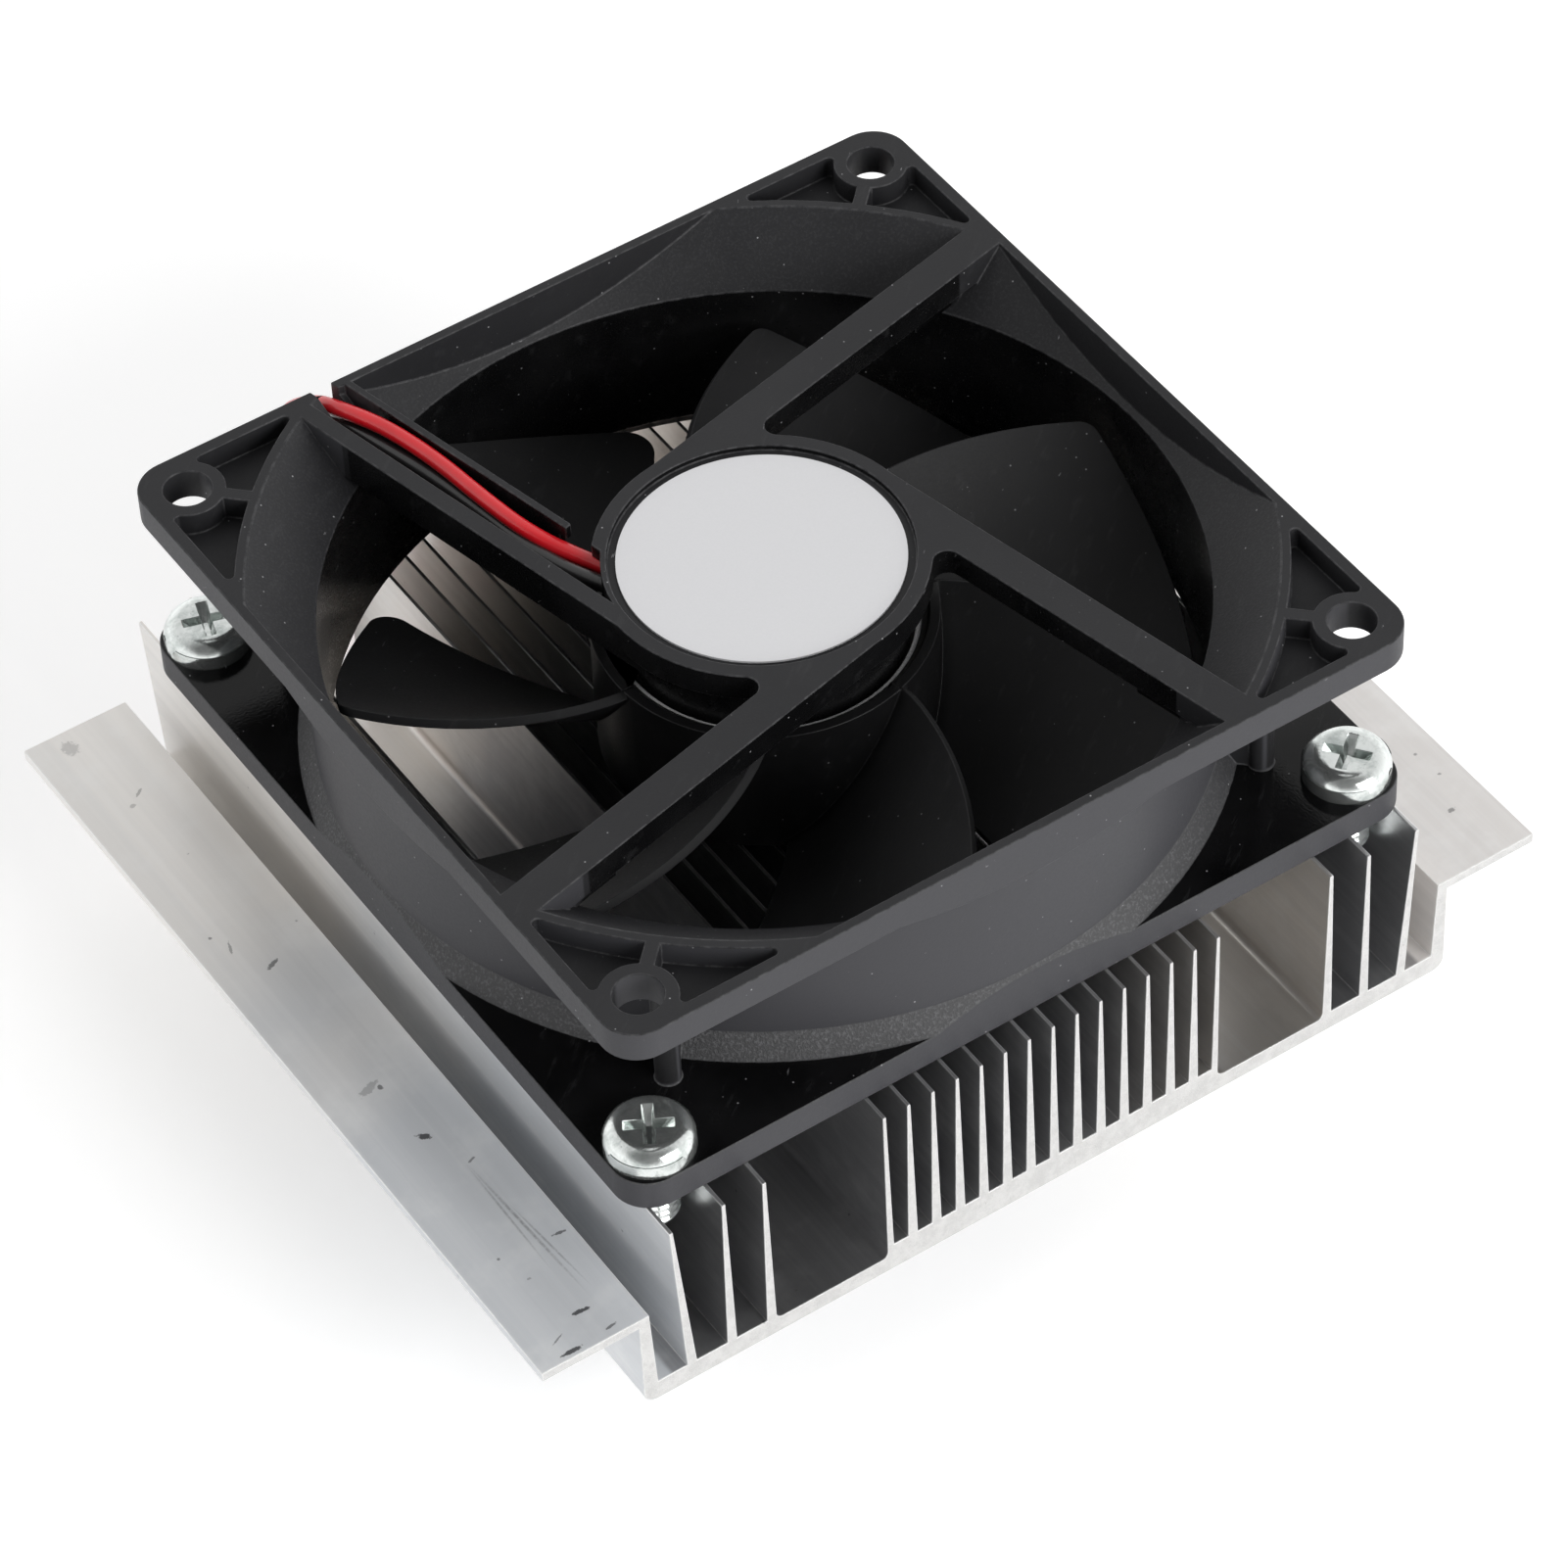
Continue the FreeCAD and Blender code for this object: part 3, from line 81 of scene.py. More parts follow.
def placed(name: str, data: bpy.types.ID) -> bpy.types.Object:
    """New object of the scene that shows a mesh, a curve, a lamp or a camera."""
    made = bpy.data.objects.new(name, data)
    bpy.context.scene.collection.objects.link(made)
    return made


class Axis(Enum):
    """Axis that a grain, a streak or a saw mark follows."""

    X = 0
    Y = 1
    Z = 2


class Tree:
    """A node tree, with short calls that add its nodes and join them."""

    def __init__(self, tree: bpy.types.NodeTree) -> None:
        """Takes up the tree of a material or of the world."""
        self.nodes = tree.nodes
        self.links = tree.links

    def feed(self, socket: Socket, value: Value | tuple) -> None:
        """Joins a node's output to a socket, or writes a number or a tuple into it."""
        if isinstance(value, Socket):
            self.links.new(value, socket)
        else:
            socket.default_value = value

    def add(self, kind: str, **inputs: Value | tuple) -> bpy.types.Node:
        """Adds a node.

        Args:
            kind: its type, without the word that all types begin with.
            inputs: what its inputs get, named with underscores for spaces.

        Returns:
            The node.
        """
        node = self.nodes.new(f"ShaderNode{kind}")
        for name, value in inputs.items():
            self.feed(node.inputs[name.replace("_", " ")], value)
        return node

    def split(self, vector: Socket, axis: Axis) -> Socket:
        """One part of a vector."""
        return self.add("SeparateXYZ", Vector=vector).outputs[axis.value]

    def band(self, value: Socket, low: float, high: float, to_low: float = 0.0, to_high: float = 1.0,
             course: str = "LINEAR") -> Socket:
        """Value mapped from one range to another and held inside it."""
        node = self.add("MapRange", Value=value, From_Min=low, From_Max=high, To_Min=to_low, To_Max=to_high)
        node.interpolation_type = course
        return node.outputs["Result"]

    def maths(self, operation: str, first: Value, second: Value = 0.0) -> Socket:
        """One step of arithmetic on two values."""
        node = self.add("Math")
        node.operation = operation
        self.feed(node.inputs[0], first)
        self.feed(node.inputs[1], second)
        return node.outputs[0]

    def vector(self, operation: str, first: Socket, second: Point = (0.0, 0.0, 0.0)) -> Socket:
        """One step of arithmetic on two vectors that gives a number."""
        node = self.add("VectorMath")
        node.operation = operation
        self.feed(node.inputs[0], first)
        self.feed(node.inputs[1], second)
        return node.outputs["Value"]

    def product(self, *shares: Value) -> Socket:
        """All the shares multiplied."""
        total = shares[0]
        for share in shares[1:]:
            total = self.maths("MULTIPLY", total, share)
        return total

    def level(self, share: Value, first: Value, second: Value) -> Socket:
        """Mix of two numbers by a share of the second."""
        node = self.add("Mix")
        for socket, value in zip(node.inputs[:1] + node.inputs[2:4], (share, first, second)):
            self.feed(socket, value)
        return node.outputs[0]


class FinishTree(Tree):
    """Node tree of one finish: its shader and the patterns that finishes are made of."""

    def __init__(self, name: str) -> None:
        """Makes a material that has only its shader."""
        self.material = bpy.data.materials.new(name)
        self.material.use_nodes = True
        super().__init__(self.material.node_tree)
        self.nodes.clear()
        self.shader = self.add("BsdfPrincipled")
        self.add("OutputMaterial", Surface=self.shader.outputs["BSDF"])
        place = self.add("TexCoord")
        self.point = place.outputs["Object"]
        self.facing = place.outputs["Normal"]

    def constant(self, **values: float | Colour) -> None:
        """Sets the shader's own sockets, named with underscores for spaces."""
        for name, value in values.items():
            socket = self.shader.inputs[name.replace("_", " ")]
            socket.default_value = (*value, 1.0) if isinstance(value, tuple) else value

    def drive(self, name: str, source: Socket) -> None:
        """Joins a pattern to one of the shader's sockets."""
        self.links.new(source, self.shader.inputs[name])

    def surface(self, colour: Socket, rough: Socket, relief: Socket) -> None:
        """Joins the patterns of colour, roughness and relief to the shader."""
        for name, source in (("Base Color", colour), ("Roughness", rough), ("Normal", relief)):
            self.drive(name, source)

    def stretched(self, scale: Point = (1.0, 1.0, 1.0), offset: Point = (0.0, 0.0, 0.0),
                  turn: Point = (0.0, 0.0, 0.0)) -> Socket:
        """Object coordinates moved, turned and scaled.

        Args:
            scale: how many pattern cells there are in a metre along each axis.
            offset: where the pattern's origin is moved to, in metres.
            turn: how far the pattern is turned about each axis, in radians.

        Returns:
            The mapped coordinates.
        """
        node = self.add("Mapping", Vector=self.point, Location=offset, Rotation=turn,
                        Scale=tuple(1 / s for s in scale))
        node.vector_type = "TEXTURE"
        return node.outputs["Vector"]

    def noise(self, size: float, detail: float = 2.0, roughness: float = 0.5,
              at: Socket | None = None) -> Socket:
        """Soft noise round one half, with cells of a size in metres, or in mapped ones where at is given."""
        return self.add("TexNoise", Scale=1 / size, Detail=detail, Roughness=roughness,
                        Vector=at or self.point).outputs["Fac"]

    def cells(self, size: float, randomness: float = 1.0) -> Socket:
        """Distance to the nearest of scattered points, as a share of their spacing."""
        return self.add("TexVoronoi", Scale=1 / size, Randomness=randomness,
                        Vector=self.point).outputs["Distance"]

    def specks(self, spacing: float, low: float, high: float, share: float = 1.0) -> Socket:
        """Scattered spots, full inside the lower and gone outside the higher share of their spacing."""
        return self.band(self.cells(spacing), low, high, share, 0.0)

    def attribute(self, name: str) -> Socket:
        """Value that the mesh carries under a name, nought where it has none."""
        node = self.add("Attribute")
        node.attribute_name = name
        return node.outputs["Fac"]

    def between(self, value: Socket, low: float, high: float, soft: float) -> Socket:
        """One inside a range and nought outside it, with ends that fade out over a width."""
        return self.product(self.band(value, low - soft, low), self.band(value, high, high + soft, 1.0, 0.0))

    def fan_radius(self) -> Socket:
        """Distance from the fan's axis, in metres."""
        centred = self.stretched(offset=(0.0, FAN_SHIFT, 0.0))
        squares = [self.maths("POWER", self.split(centred, axis), 2.0) for axis in (Axis.X, Axis.Y)]
        return self.maths("SQRT", self.maths("ADD", *squares))

    def outward(self) -> Socket:
        """How far a face looks away from the fan's axis: one fully away, less than nought towards it."""
        centred = self.stretched(offset=(0.0, FAN_SHIFT, 0.0))
        parts = [self.product(self.split(centred, axis), self.split(self.facing, axis))
                 for axis in (Axis.X, Axis.Y)]
        return self.maths("DIVIDE", self.maths("ADD", *parts), self.fan_radius())

    def blend(self, share: Value, first: Tint, second: Tint) -> Socket:
        """Mix of two colours by a share of the second."""
        node = self.add("Mix")
        node.data_type = "RGBA"
        self.feed(node.inputs["Factor"], share)
        for name, value in (("A", first), ("B", second)):
            socket = next(s for s in node.inputs if s.name == name and s.type == "RGBA")
            self.feed(socket, (*value, 1.0) if isinstance(value, tuple) else value)
        return next(s for s in node.outputs if s.type == "RGBA")

    def bump(self, height: Socket, depth: float, strength: float = 1.0,
             under: Socket | None = None) -> Socket:
        """Relief of a given depth in metres, over another where under is given."""
        node = self.add("Bump", Strength=strength, Distance=depth, Height=height)
        if under is not None:
            self.feed(node.inputs["Normal"], under)
        return node.outputs["Normal"]


@dataclass(frozen=True)
class Finish:
    """What every finish has: a name, a colour and a gloss."""

    name: str
    colour: Colour
    roughness: float = 0.5

    def dress(self, tree: FinishTree) -> None:
        """Adds this finish's own nodes to its tree."""
        raise NotImplementedError

    def material(self) -> bpy.types.Material:
        """The Blender material of this finish, made on its first use."""
        label = f"{self.name}_finish"
        made = bpy.data.materials.get(label)
        if made is None:
            tree = FinishTree(label)
            tree.constant(Base_Color=self.colour, Roughness=self.roughness)
            self.dress(tree)
            made = tree.material
        return made


@dataclass(frozen=True)
class MouldedPlastic(Finish):
    """Injection-moulded plastic: fine eroded skin, cloudy gloss, painted glints on coarse skin, rubbed edges
    with a painted highlight, and dust.
    """

    grain: float = 0.30 * MM
    grain_depth: float = 0.011 * MM
    spark: float = 0.29 * MM
    spark_depth: float = 0.15 * MM
    cloud: float = 14 * MM
    wear: float = 1.1 * MM
    speck_spacing: float = 1.9 * MM
    lint_spacing: float = 1.2 * MM
    lint_patch: float = 9 * MM
    hair_scale: Point = (260.0, 2300.0, 1400.0)
    hair_turn: Point = (0.5, 0.2, 0.8)
    streak_scale: Point = (180.0, 900.0, 420.0)
    streak_turn: Point = (0.3, 0.2, 0.7)
    specular: float = 0.28
    dust: float = 1.0
    dust_colour: Colour = (0.30, 0.30, 0.31)
    # tint of the eased edges: rubbed wear, and a painted edge highlight
    rubbed_and_painted_highlight_colour: Colour = (0.075, 0.075, 0.078)
    # pale tint at the coarse skin's peaks: painted glints
    spark_painted_glint_colour: Colour = (0.125, 0.125, 0.13)
    pale_colour: Colour = (0.06, 0.06, 0.062)

    def body(self, tree: FinishTree) -> Body:
        """Colour, roughness and share of coarse skin, before clouds, painted glints, worn edges with a painted
        highlight, and dust.
        """
        return self.colour, self.roughness, 0.0

    def dusty(self, tree: FinishTree) -> Socket:
        """Share of dust: single specks all over, and lint in patches."""
        speck = tree.specks(self.speck_spacing, 0.032, 0.058)
        lint = tree.specks(self.lint_spacing, 0.018, 0.042, 0.5)
        patch = tree.band(tree.noise(self.lint_patch), 0.52, 0.62)
        hair = tree.noise(1.0, at=tree.stretched(self.hair_scale, turn=self.hair_turn))
        thread = tree.product(tree.band(hair, 0.745, 0.77), patch, 0.6)
        loose = tree.maths("MAXIMUM", speck, tree.product(lint, patch))
        return tree.product(tree.maths("MAXIMUM", thread, loose), self.dust)

    def dress(self, tree: FinishTree) -> None:
        """Adds skin, cloudy gloss, painted glints on the coarse skin, rubbed edges with a painted highlight,
        and dust.

        Args:
            tree: the new material's tree.
        """
        colour, rough, coarse = self.body(tree)
        cloud = tree.noise(self.cloud, 3.0, 0.6)
        fine = tree.noise(self.grain, 2.0, 0.65)
        spark = tree.noise(self.spark, 2.0, 0.6)
        streak = tree.noise(1.0, 3.0, 0.6, tree.stretched(self.streak_scale, turn=self.streak_turn))
        # eased edges broken up by noise: rubbed wear and a painted edge highlight
        wear_and_painted_highlight = tree.product(tree.attribute(EASED), tree.band(tree.noise(self.wear, 4.0, 0.75), 0.40, 0.66), 0.7)
        # pale clouds and streaks, painted glints at the coarse skin's peaks, then the rubbed edges with their
        # painted highlight
        for share, tint in ((tree.band(cloud, 0.4, 0.7, 0.0, 0.10), self.pale_colour),
                            (tree.product(tree.band(streak, 0.60, 0.74), 0.16), self.pale_colour),
                            (tree.product(tree.band(spark, 0.5, 0.66), coarse, 0.7), self.spark_painted_glint_colour),
                            (wear_and_painted_highlight, self.rubbed_and_painted_highlight_colour)):
            colour = tree.blend(share, colour, tint)
        if self.dust:
            colour = tree.blend(self.dusty(tree), colour, self.dust_colour)
        tree.constant(Specular_IOR_Level=self.specular)
        uneven = tree.band(tree.maths("ADD", fine, tree.product(cloud, 0.6)), 0.5, 1.1, -0.05, 0.07)
        skin = tree.bump(fine, self.grain_depth)
        tree.surface(colour, tree.maths("ADD", rough, uneven),
                     tree.bump(tree.product(spark, coarse), self.spark_depth, under=skin))


@dataclass(frozen=True)
class FrameMoulding(MouldedPlastic):
    """The fan frame's plastic: smooth duct, glossy lower flange and dark posts, all with painted shade; coarse
    flares and outer walls with painted sheen.
    """

    # darker zones: painted shade inside the duct, and on the lower flange under the upper one
    duct_painted_shade_colour: Colour = (0.0034, 0.0034, 0.0037)
    flange_painted_shade_colour: Colour = (0.0026, 0.0026, 0.0028)
    # lighter zones: painted sheen on the coarse flares and on the outer walls
    flare_painted_sheen_colour: Colour = (0.064, 0.064, 0.066)
    wall_painted_sheen_colour: Colour = (0.048, 0.048, 0.053)
    # painted shade on the posts under the upper flange
    post_painted_shade_colour: Colour = (0.017, 0.017, 0.018)
    duct_radius: float = 44.6 * MM
    barrel_radius: float = 45.5 * MM
    post_radius: float = 50.6 * MM
    flange_top: float = 38.4 * MM
    post_foot: float = 38.8 * MM
    flare_top: float = 41.6 * MM
    crescent_foot: float = 53.4 * MM
    post_top: float = 55.2 * MM
    frame_top: float = 59.8 * MM
    # the flares' share, with their coarse skin and painted sheen, fades out towards +X
    flare_fade: Pair = (12 * MM, 34 * MM)
    soft: float = 0.2 * MM
    lean: float = 0.04

    def body(self, tree: FinishTree) -> Body:
        """Colour, roughness and share of coarse skin of each zone of the frame, with painted shade in the duct,
        on the lower flange and on the posts, and painted sheen on the outer walls and the flares.

        Args:
            tree: the new material's tree.

        Returns:
            The three patterns.
        """
        height, rise = tree.split(tree.point, Axis.Z), tree.split(tree.facing, Axis.Z)
        radius, soft = tree.fan_radius(), self.soft
        outside = tree.band(radius, self.barrel_radius - soft, self.barrel_radius)
        inside = tree.band(radius, self.duct_radius, self.duct_radius + soft, 1.0, 0.0)
        flange = tree.product(tree.between(height, self.flange_top - soft, self.flange_top + soft, soft),
                              tree.band(rise, 0.95, 0.99), outside)
        flare = tree.product(tree.between(height, self.flange_top, self.flare_top, soft), outside,
                             tree.between(rise, 0.06, 0.95, self.lean),
                             tree.band(tree.split(tree.point, Axis.X), *self.flare_fade, 1.0, 0.25))
        crescent = tree.product(tree.between(height, self.crescent_foot, self.frame_top, soft),
                                tree.between(rise, 0.2, 0.95, self.lean))
        duct = tree.product(inside, tree.band(rise, 0.15, 0.5, 1.0, 0.0))
        wall = tree.product(outside, tree.band(tree.outward(), 0.15, 0.35),
                            tree.band(tree.maths("ABSOLUTE", rise), 0.3, 0.6, 1.0, 0.0))
        post = tree.product(tree.band(radius, self.post_radius - soft, self.post_radius),
                            tree.between(height, self.post_foot, self.post_top, soft))
        colour, rough = self.colour, self.roughness
        # painted sheen on the walls and flares, painted shade on the posts, the duct and the lower flange; the
        # glosses are the zones' own
        for share, tint, gloss in ((wall, self.wall_painted_sheen_colour, 0.48), (post, self.post_painted_shade_colour, 0.38),
                                   (duct, self.duct_painted_shade_colour, 0.28), (flange, self.flange_painted_shade_colour, 0.10),
                                   (flare, self.flare_painted_sheen_colour, 0.60), (crescent, self.colour, 0.46)):
            colour = tree.blend(share, colour, tint)
            rough = tree.level(share, rough, gloss)
        return colour, rough, tree.maths("MAXIMUM", flare, tree.product(crescent, 0.12))


@dataclass(frozen=True)
class RotorMoulding(MouldedPlastic):
    """The impeller's plastic: satin blades, a smooth black hub."""

    hub_colour: Colour = (0.0055, 0.0055, 0.0058)
    hub_roughness: float = 0.34
    hub_reach: Pair = (17.7 * MM, 18.9 * MM)

    def body(self, tree: FinishTree) -> Body:
        """Colour, roughness and share of coarse skin of the hub and the blades."""
        hub = tree.band(tree.fan_radius(), *self.hub_reach, 1.0, 0.0)
        return (tree.blend(hub, self.colour, self.hub_colour),
                tree.level(hub, self.roughness, self.hub_roughness), 0.0)


@dataclass(frozen=True)
class Mark:
    """One scuff or scratch on a flange: ragged, or a thin clean line, in millimetres and degrees."""

    x: float
    y: float
    wide: float
    long: float
    turn: float
    darkness: float
    ragged: bool = True
    height: float = 24.7
    depth: float = 1.0

    def share(self, tree: FinishTree, grain: Socket) -> Socket:
        """How much of the mark there is at each point.

        Args:
            tree: the finish's tree.
            grain: fine noise that breaks up its outline.

        Returns:
            The share.
        """
        scale = tuple(1 / (reach * MM) for reach in (self.wide, self.long, self.depth))
        place = tuple(part * MM for part in (self.x, self.y, self.height))
        near = tree.vector("LENGTH", tree.stretched(scale, place, (0.0, 0.0, math.radians(self.turn))))
        body = tree.band(near, 0.25, 1.0, 1.0, 0.0)
        if self.ragged:
            body = tree.band(tree.maths("ADD", tree.product(body, 0.7), grain), 0.90, 1.03)
        else:
            body = tree.product(body, tree.band(grain, 0.30, 0.55, 0.2, 1.0))
        return tree.product(body, self.darkness)


@dataclass(frozen=True)
class MillAluminium(Finish):
    """Extruded aluminium: die lines along one axis, cloudy oxide, sawn ends, a painted reflection from cool to
    warm along it, painted shade and light in the fin channels, painted highlights on the eased edges, and
    scuffs.
    """

    along: Axis = Axis.Y
    metallic: float = 0.30
    inner_metallic: float = 0.92
    sawn_roughness: float = 0.52
    die_line: float = 0.11 * MM
    die_depth: float = 0.003 * MM
    streak: float = 0.9 * MM
    streak_depth: float = 0.007 * MM
    stripe: float = 2.6 * MM
    cloud: float = 8 * MM
    grain: float = 0.10 * MM
    mottle: float = 1.3 * MM
    sawn_depth: float = 0.05 * MM
    drift: float = 26 * MM
    drift_reach: float = 70 * MM
    scuff_grain: float = 0.45 * MM
    scuff_spacing: float = 4.6 * MM
    inner_reach: Pair = (45.0 * MM, 45.5 * MM)
    edge_fin: Pair = (43.3 * MM, 43.4 * MM)
    channel_end: Pair = (33.65 * MM, 33.75 * MM)
    right_side: Pair = (4 * MM, 26 * MM)
    # run along the extrusion over which the painted reflection goes from cool to warm
    painted_reflection_side: Pair = (-12 * MM, 20 * MM)
    # run beyond which the fin channels get painted light in place of painted shade
    channel_painted_light_side: Pair = (18 * MM, 38 * MM)
    right_colour: Colour = (0.74, 0.715, 0.695)
    # inner faces: painted shade at the front, painted light further in
    channel_painted_shade_colour: Colour = (0.50, 0.50, 0.51)
    channel_painted_light_colour: Colour = (0.77, 0.738, 0.70)
    # near end of the painted reflection; the darker stripes are made from it too
    near_painted_reflection_colour: Colour = (0.68, 0.70, 0.725)
    end_colour: Colour = (0.60, 0.595, 0.585)
    end_grain: Colour = (0.80, 0.795, 0.785)
    # pale tint of die streaks and oxide clouds, and the painted highlight on the eased edges
    pale_and_painted_highlight_colour: Colour = (0.92, 0.92, 0.91)
    scuff_colour: Colour = (0.045, 0.045, 0.05)
    marks: tuple[Mark, ...] = ()

    def streaks(self, tree: FinishTree, width: float, length: float = 160.0) -> Socket:
        """Long thin noise that follows the extrusion.

        Args:
            tree: the new material's tree.
            width: width of a streak in metres.
            length: how many times as long as wide a streak is.

        Returns:
            The noise, around one half.
        """
        scale = [1 / width] * 3
        scale[self.along.value] = 1 / (length * width)
        return tree.noise(1.0, 3.0, 0.6, tree.stretched(tuple(scale)))

    def scuffed(self, tree: FinishTree) -> Socket:
        """Share of dark scuff at the marked places and in a light scatter over the rest."""
        grain = tree.noise(self.scuff_grain, 3.0, 0.8)
        total = tree.product(tree.specks(self.scuff_spacing, 0.020, 0.050), tree.band(grain, 0.42, 0.55), 0.6)
        for mark in self.marks:
            total = tree.maths("MAXIMUM", total, mark.share(tree, grain))
        return total

    def skin(self, tree: FinishTree, sawn: Socket) -> tuple[Socket, Socket]:
        """Colour of the drawn faces, and share of the inner ones, which get painted shade at the front and
        painted light further in.

        Args:
            tree: the new material's tree.
            sawn: share of the sawn ends.

        Returns:
            The colour, which changes along the extrusion as a painted reflection and across it, and the share.
        """
        run, across = tree.split(tree.point, self.along), tree.split(tree.point, Axis.X)
        swing = tree.maths("SUBTRACT", tree.noise(self.drift), 0.5)
        drifted = tree.maths("ADD", run, tree.product(swing, self.drift_reach))
        right = tree.band(across, *self.right_side)
        # painted reflection: cool at the front, warm at the far end
        painted_reflection_share = tree.band(drifted, *self.painted_reflection_side)
        # the right-hand channel and the far run get painted light, the other inner faces painted shade
        channel = tree.product(right, tree.band(across, *self.channel_end, 1.0, 0.0))
        channel_painted_light = tree.maths("MAXIMUM", tree.band(drifted, *self.channel_painted_light_side), channel)
        aside = tree.maths("ABSOLUTE", across)
        looks_out = tree.product(tree.maths("SIGN", across), tree.split(tree.facing, Axis.X))
        edge_face = tree.product(tree.band(aside, *self.edge_fin), tree.band(looks_out, 0.3, 0.6))
        inner = tree.product(tree.band(aside, *self.inner_reach, 1.0, 0.0),
                             tree.maths("SUBTRACT", 1.0, sawn), tree.maths("SUBTRACT", 1.0, edge_face))
        # painted reflection on the outer faces, one flat tone on the right side, then the inner faces' painted
        # shade and light
        colour = tree.blend(right, tree.blend(painted_reflection_share, self.near_painted_reflection_colour, self.colour), self.right_colour)
        return tree.blend(inner, colour, tree.blend(channel_painted_light, self.channel_painted_shade_colour, self.channel_painted_light_colour)), inner

    def dress(self, tree: FinishTree) -> None:
        """Adds die lines, oxide clouds, sawn ends, painted highlights on the eased edges, and scuffs.

        Args:
            tree: the new material's tree.
        """
        fine = self.streaks(tree, self.die_line)
        broad = self.streaks(tree, self.streak)
        stripes = self.streaks(tree, self.stripe, 90.0)
        cloud = tree.noise(self.cloud, 4.0, 0.62)
        grain = tree.noise(self.grain, 3.0, 0.75)
        mottle = tree.noise(self.mottle, 4.0, 0.7)
        sawn = tree.band(tree.maths("ABSOLUTE", tree.split(tree.facing, self.along)), 0.7, 0.85)
        end = tree.blend(tree.band(mottle, 0.40, 0.60, 0.0, 0.6), self.end_colour,
                         shaded(self.end_colour, 0.72))
        end = tree.blend(tree.band(grain, 0.42, 0.62, 0.0, 0.55), end, self.end_grain)
        # painted highlight on the eased edges
        painted_edge_highlight = tree.product(tree.attribute(EASED), tree.band(mottle, 0.3, 0.6, 0.3, 0.9))
        colour, inner = self.skin(tree, sawn)
        for share, tint in ((tree.band(broad, 0.46, 0.70, 0.0, 0.16), self.pale_and_painted_highlight_colour),
                            (tree.band(stripes, 0.34, 0.60, 0.14, 0.0), shaded(self.near_painted_reflection_colour, 0.55)),
                            (tree.band(cloud, 0.50, 0.66, 0.0, 0.25), self.pale_and_painted_highlight_colour),
                            (sawn, end), (painted_edge_highlight, self.pale_and_painted_highlight_colour), (self.scuffed(tree), self.scuff_colour)):
            colour = tree.blend(share, colour, tint)
        tree.drive("Metallic", tree.level(inner, self.metallic, self.inner_metallic))
        gloss = tree.band(tree.maths("ADD", fine, tree.product(cloud, 0.7)), 0.6, 1.1,
                          self.roughness - 0.04, self.roughness + 0.07)
        lines = tree.bump(broad, self.streak_depth, under=tree.bump(fine, self.die_depth))
        saw = tree.product(tree.maths("ADD", grain, mottle), sawn)
        tree.surface(colour, tree.level(sawn, gloss, self.sawn_roughness),
                     tree.bump(saw, self.sawn_depth, under=lines))


@dataclass(frozen=True)
class PlatedSteel(Finish):
    """Bright plated or drawn metal with a cloudy film and fine pits."""

    cloud_colour: Colour = (0.5, 0.5, 0.48)
    cloud: float = 2.0 * MM
    fine: float = 0.15 * MM
    depth: float = 0.008 * MM
    pit_spacing: float = 0.7 * MM
    metallic: float = 1.0

    def dress(self, tree: FinishTree) -> None:
        """Adds the film, the pits and the uneven gloss.

        Args:
            tree: the new material's tree.
        """
        cloud = tree.noise(self.cloud, 4.0, 0.65)
        fine = tree.noise(self.fine, 3.0, 0.6)
        pit = tree.specks(self.pit_spacing, 0.05, 0.12)
        colour = tree.blend(tree.band(cloud, 0.45, 0.7), self.colour, self.cloud_colour)
        colour = tree.blend(tree.product(pit, 0.5), colour, shaded(self.colour, 0.25))
        tree.constant(Metallic=self.metallic)
        tree.surface(colour, tree.band(tree.maths("ADD", cloud, fine), 0.8, 1.2,
                                       self.roughness - 0.05, self.roughness + 0.12),
                     tree.bump(fine, self.depth))


@dataclass(frozen=True)
class StripedMetal(Finish):
    """Metal whose surface is made of even lines across one axis: laminations, or wound wire."""

    across: Axis = Axis.Z
    pitch: float = 0.5 * MM
    depth: float = 0.04 * MM
    mottle: float = 1.5 * MM
    cloud: float = 0.4 * MM
    gap_colour: Colour = (0.02, 0.02, 0.02)

    def dress(self, tree: FinishTree) -> None:
        """Adds the lines and a slight change of colour along them.

        Args:
            tree: the new material's tree.
        """
        place = tree.split(tree.point, self.across)
        phase = tree.maths("FRACT", tree.maths("DIVIDE", place, self.pitch))
        ridge = tree.maths("ABSOLUTE", tree.maths("SUBTRACT", phase, 0.5))
        crown = tree.band(ridge, 0.28, 0.5, 1.0, 0.0)
        mottle = tree.band(tree.noise(self.mottle, 3.0), 0.35, 0.65, 0.75, 1.0)
        tint = tree.blend(mottle, shaded(self.colour, 0.7), self.colour)
        tree.constant(Metallic=1.0)
        tree.surface(tree.blend(crown, self.gap_colour, tint),
                     tree.band(tree.noise(self.cloud), 0.3, 0.7, self.roughness - 0.06, self.roughness + 0.1),
                     tree.bump(crown, self.depth))


@dataclass(frozen=True)
class TurnedMetal(Finish):
    """Turned or sintered metal: fine rings round the fan's axis and a mottled colour."""

    mottle: float = 0.25
    spot: float = 0.6 * MM
    ring: float = 0.15 * MM
    depth: float = 0.004 * MM

    def dress(self, tree: FinishTree) -> None:
        """Adds the turning rings and the mottle.

        Args:
            tree: the new material's tree.
        """
        run = tree.maths("ADD", tree.fan_radius(), tree.split(tree.point, Axis.Z))
        wave = tree.maths("SINE", tree.product(run, math.tau / self.ring))
        spots = tree.band(tree.noise(self.spot, 4.0, 0.7), 0.35, 0.65)
        tree.constant(Metallic=1.0)
        tree.surface(tree.blend(tree.product(spots, self.mottle), self.colour, shaded(self.colour, 0.45)),
                     tree.band(spots, 0.0, 1.0, self.roughness, self.roughness + 0.15),
                     tree.bump(wave, self.depth))


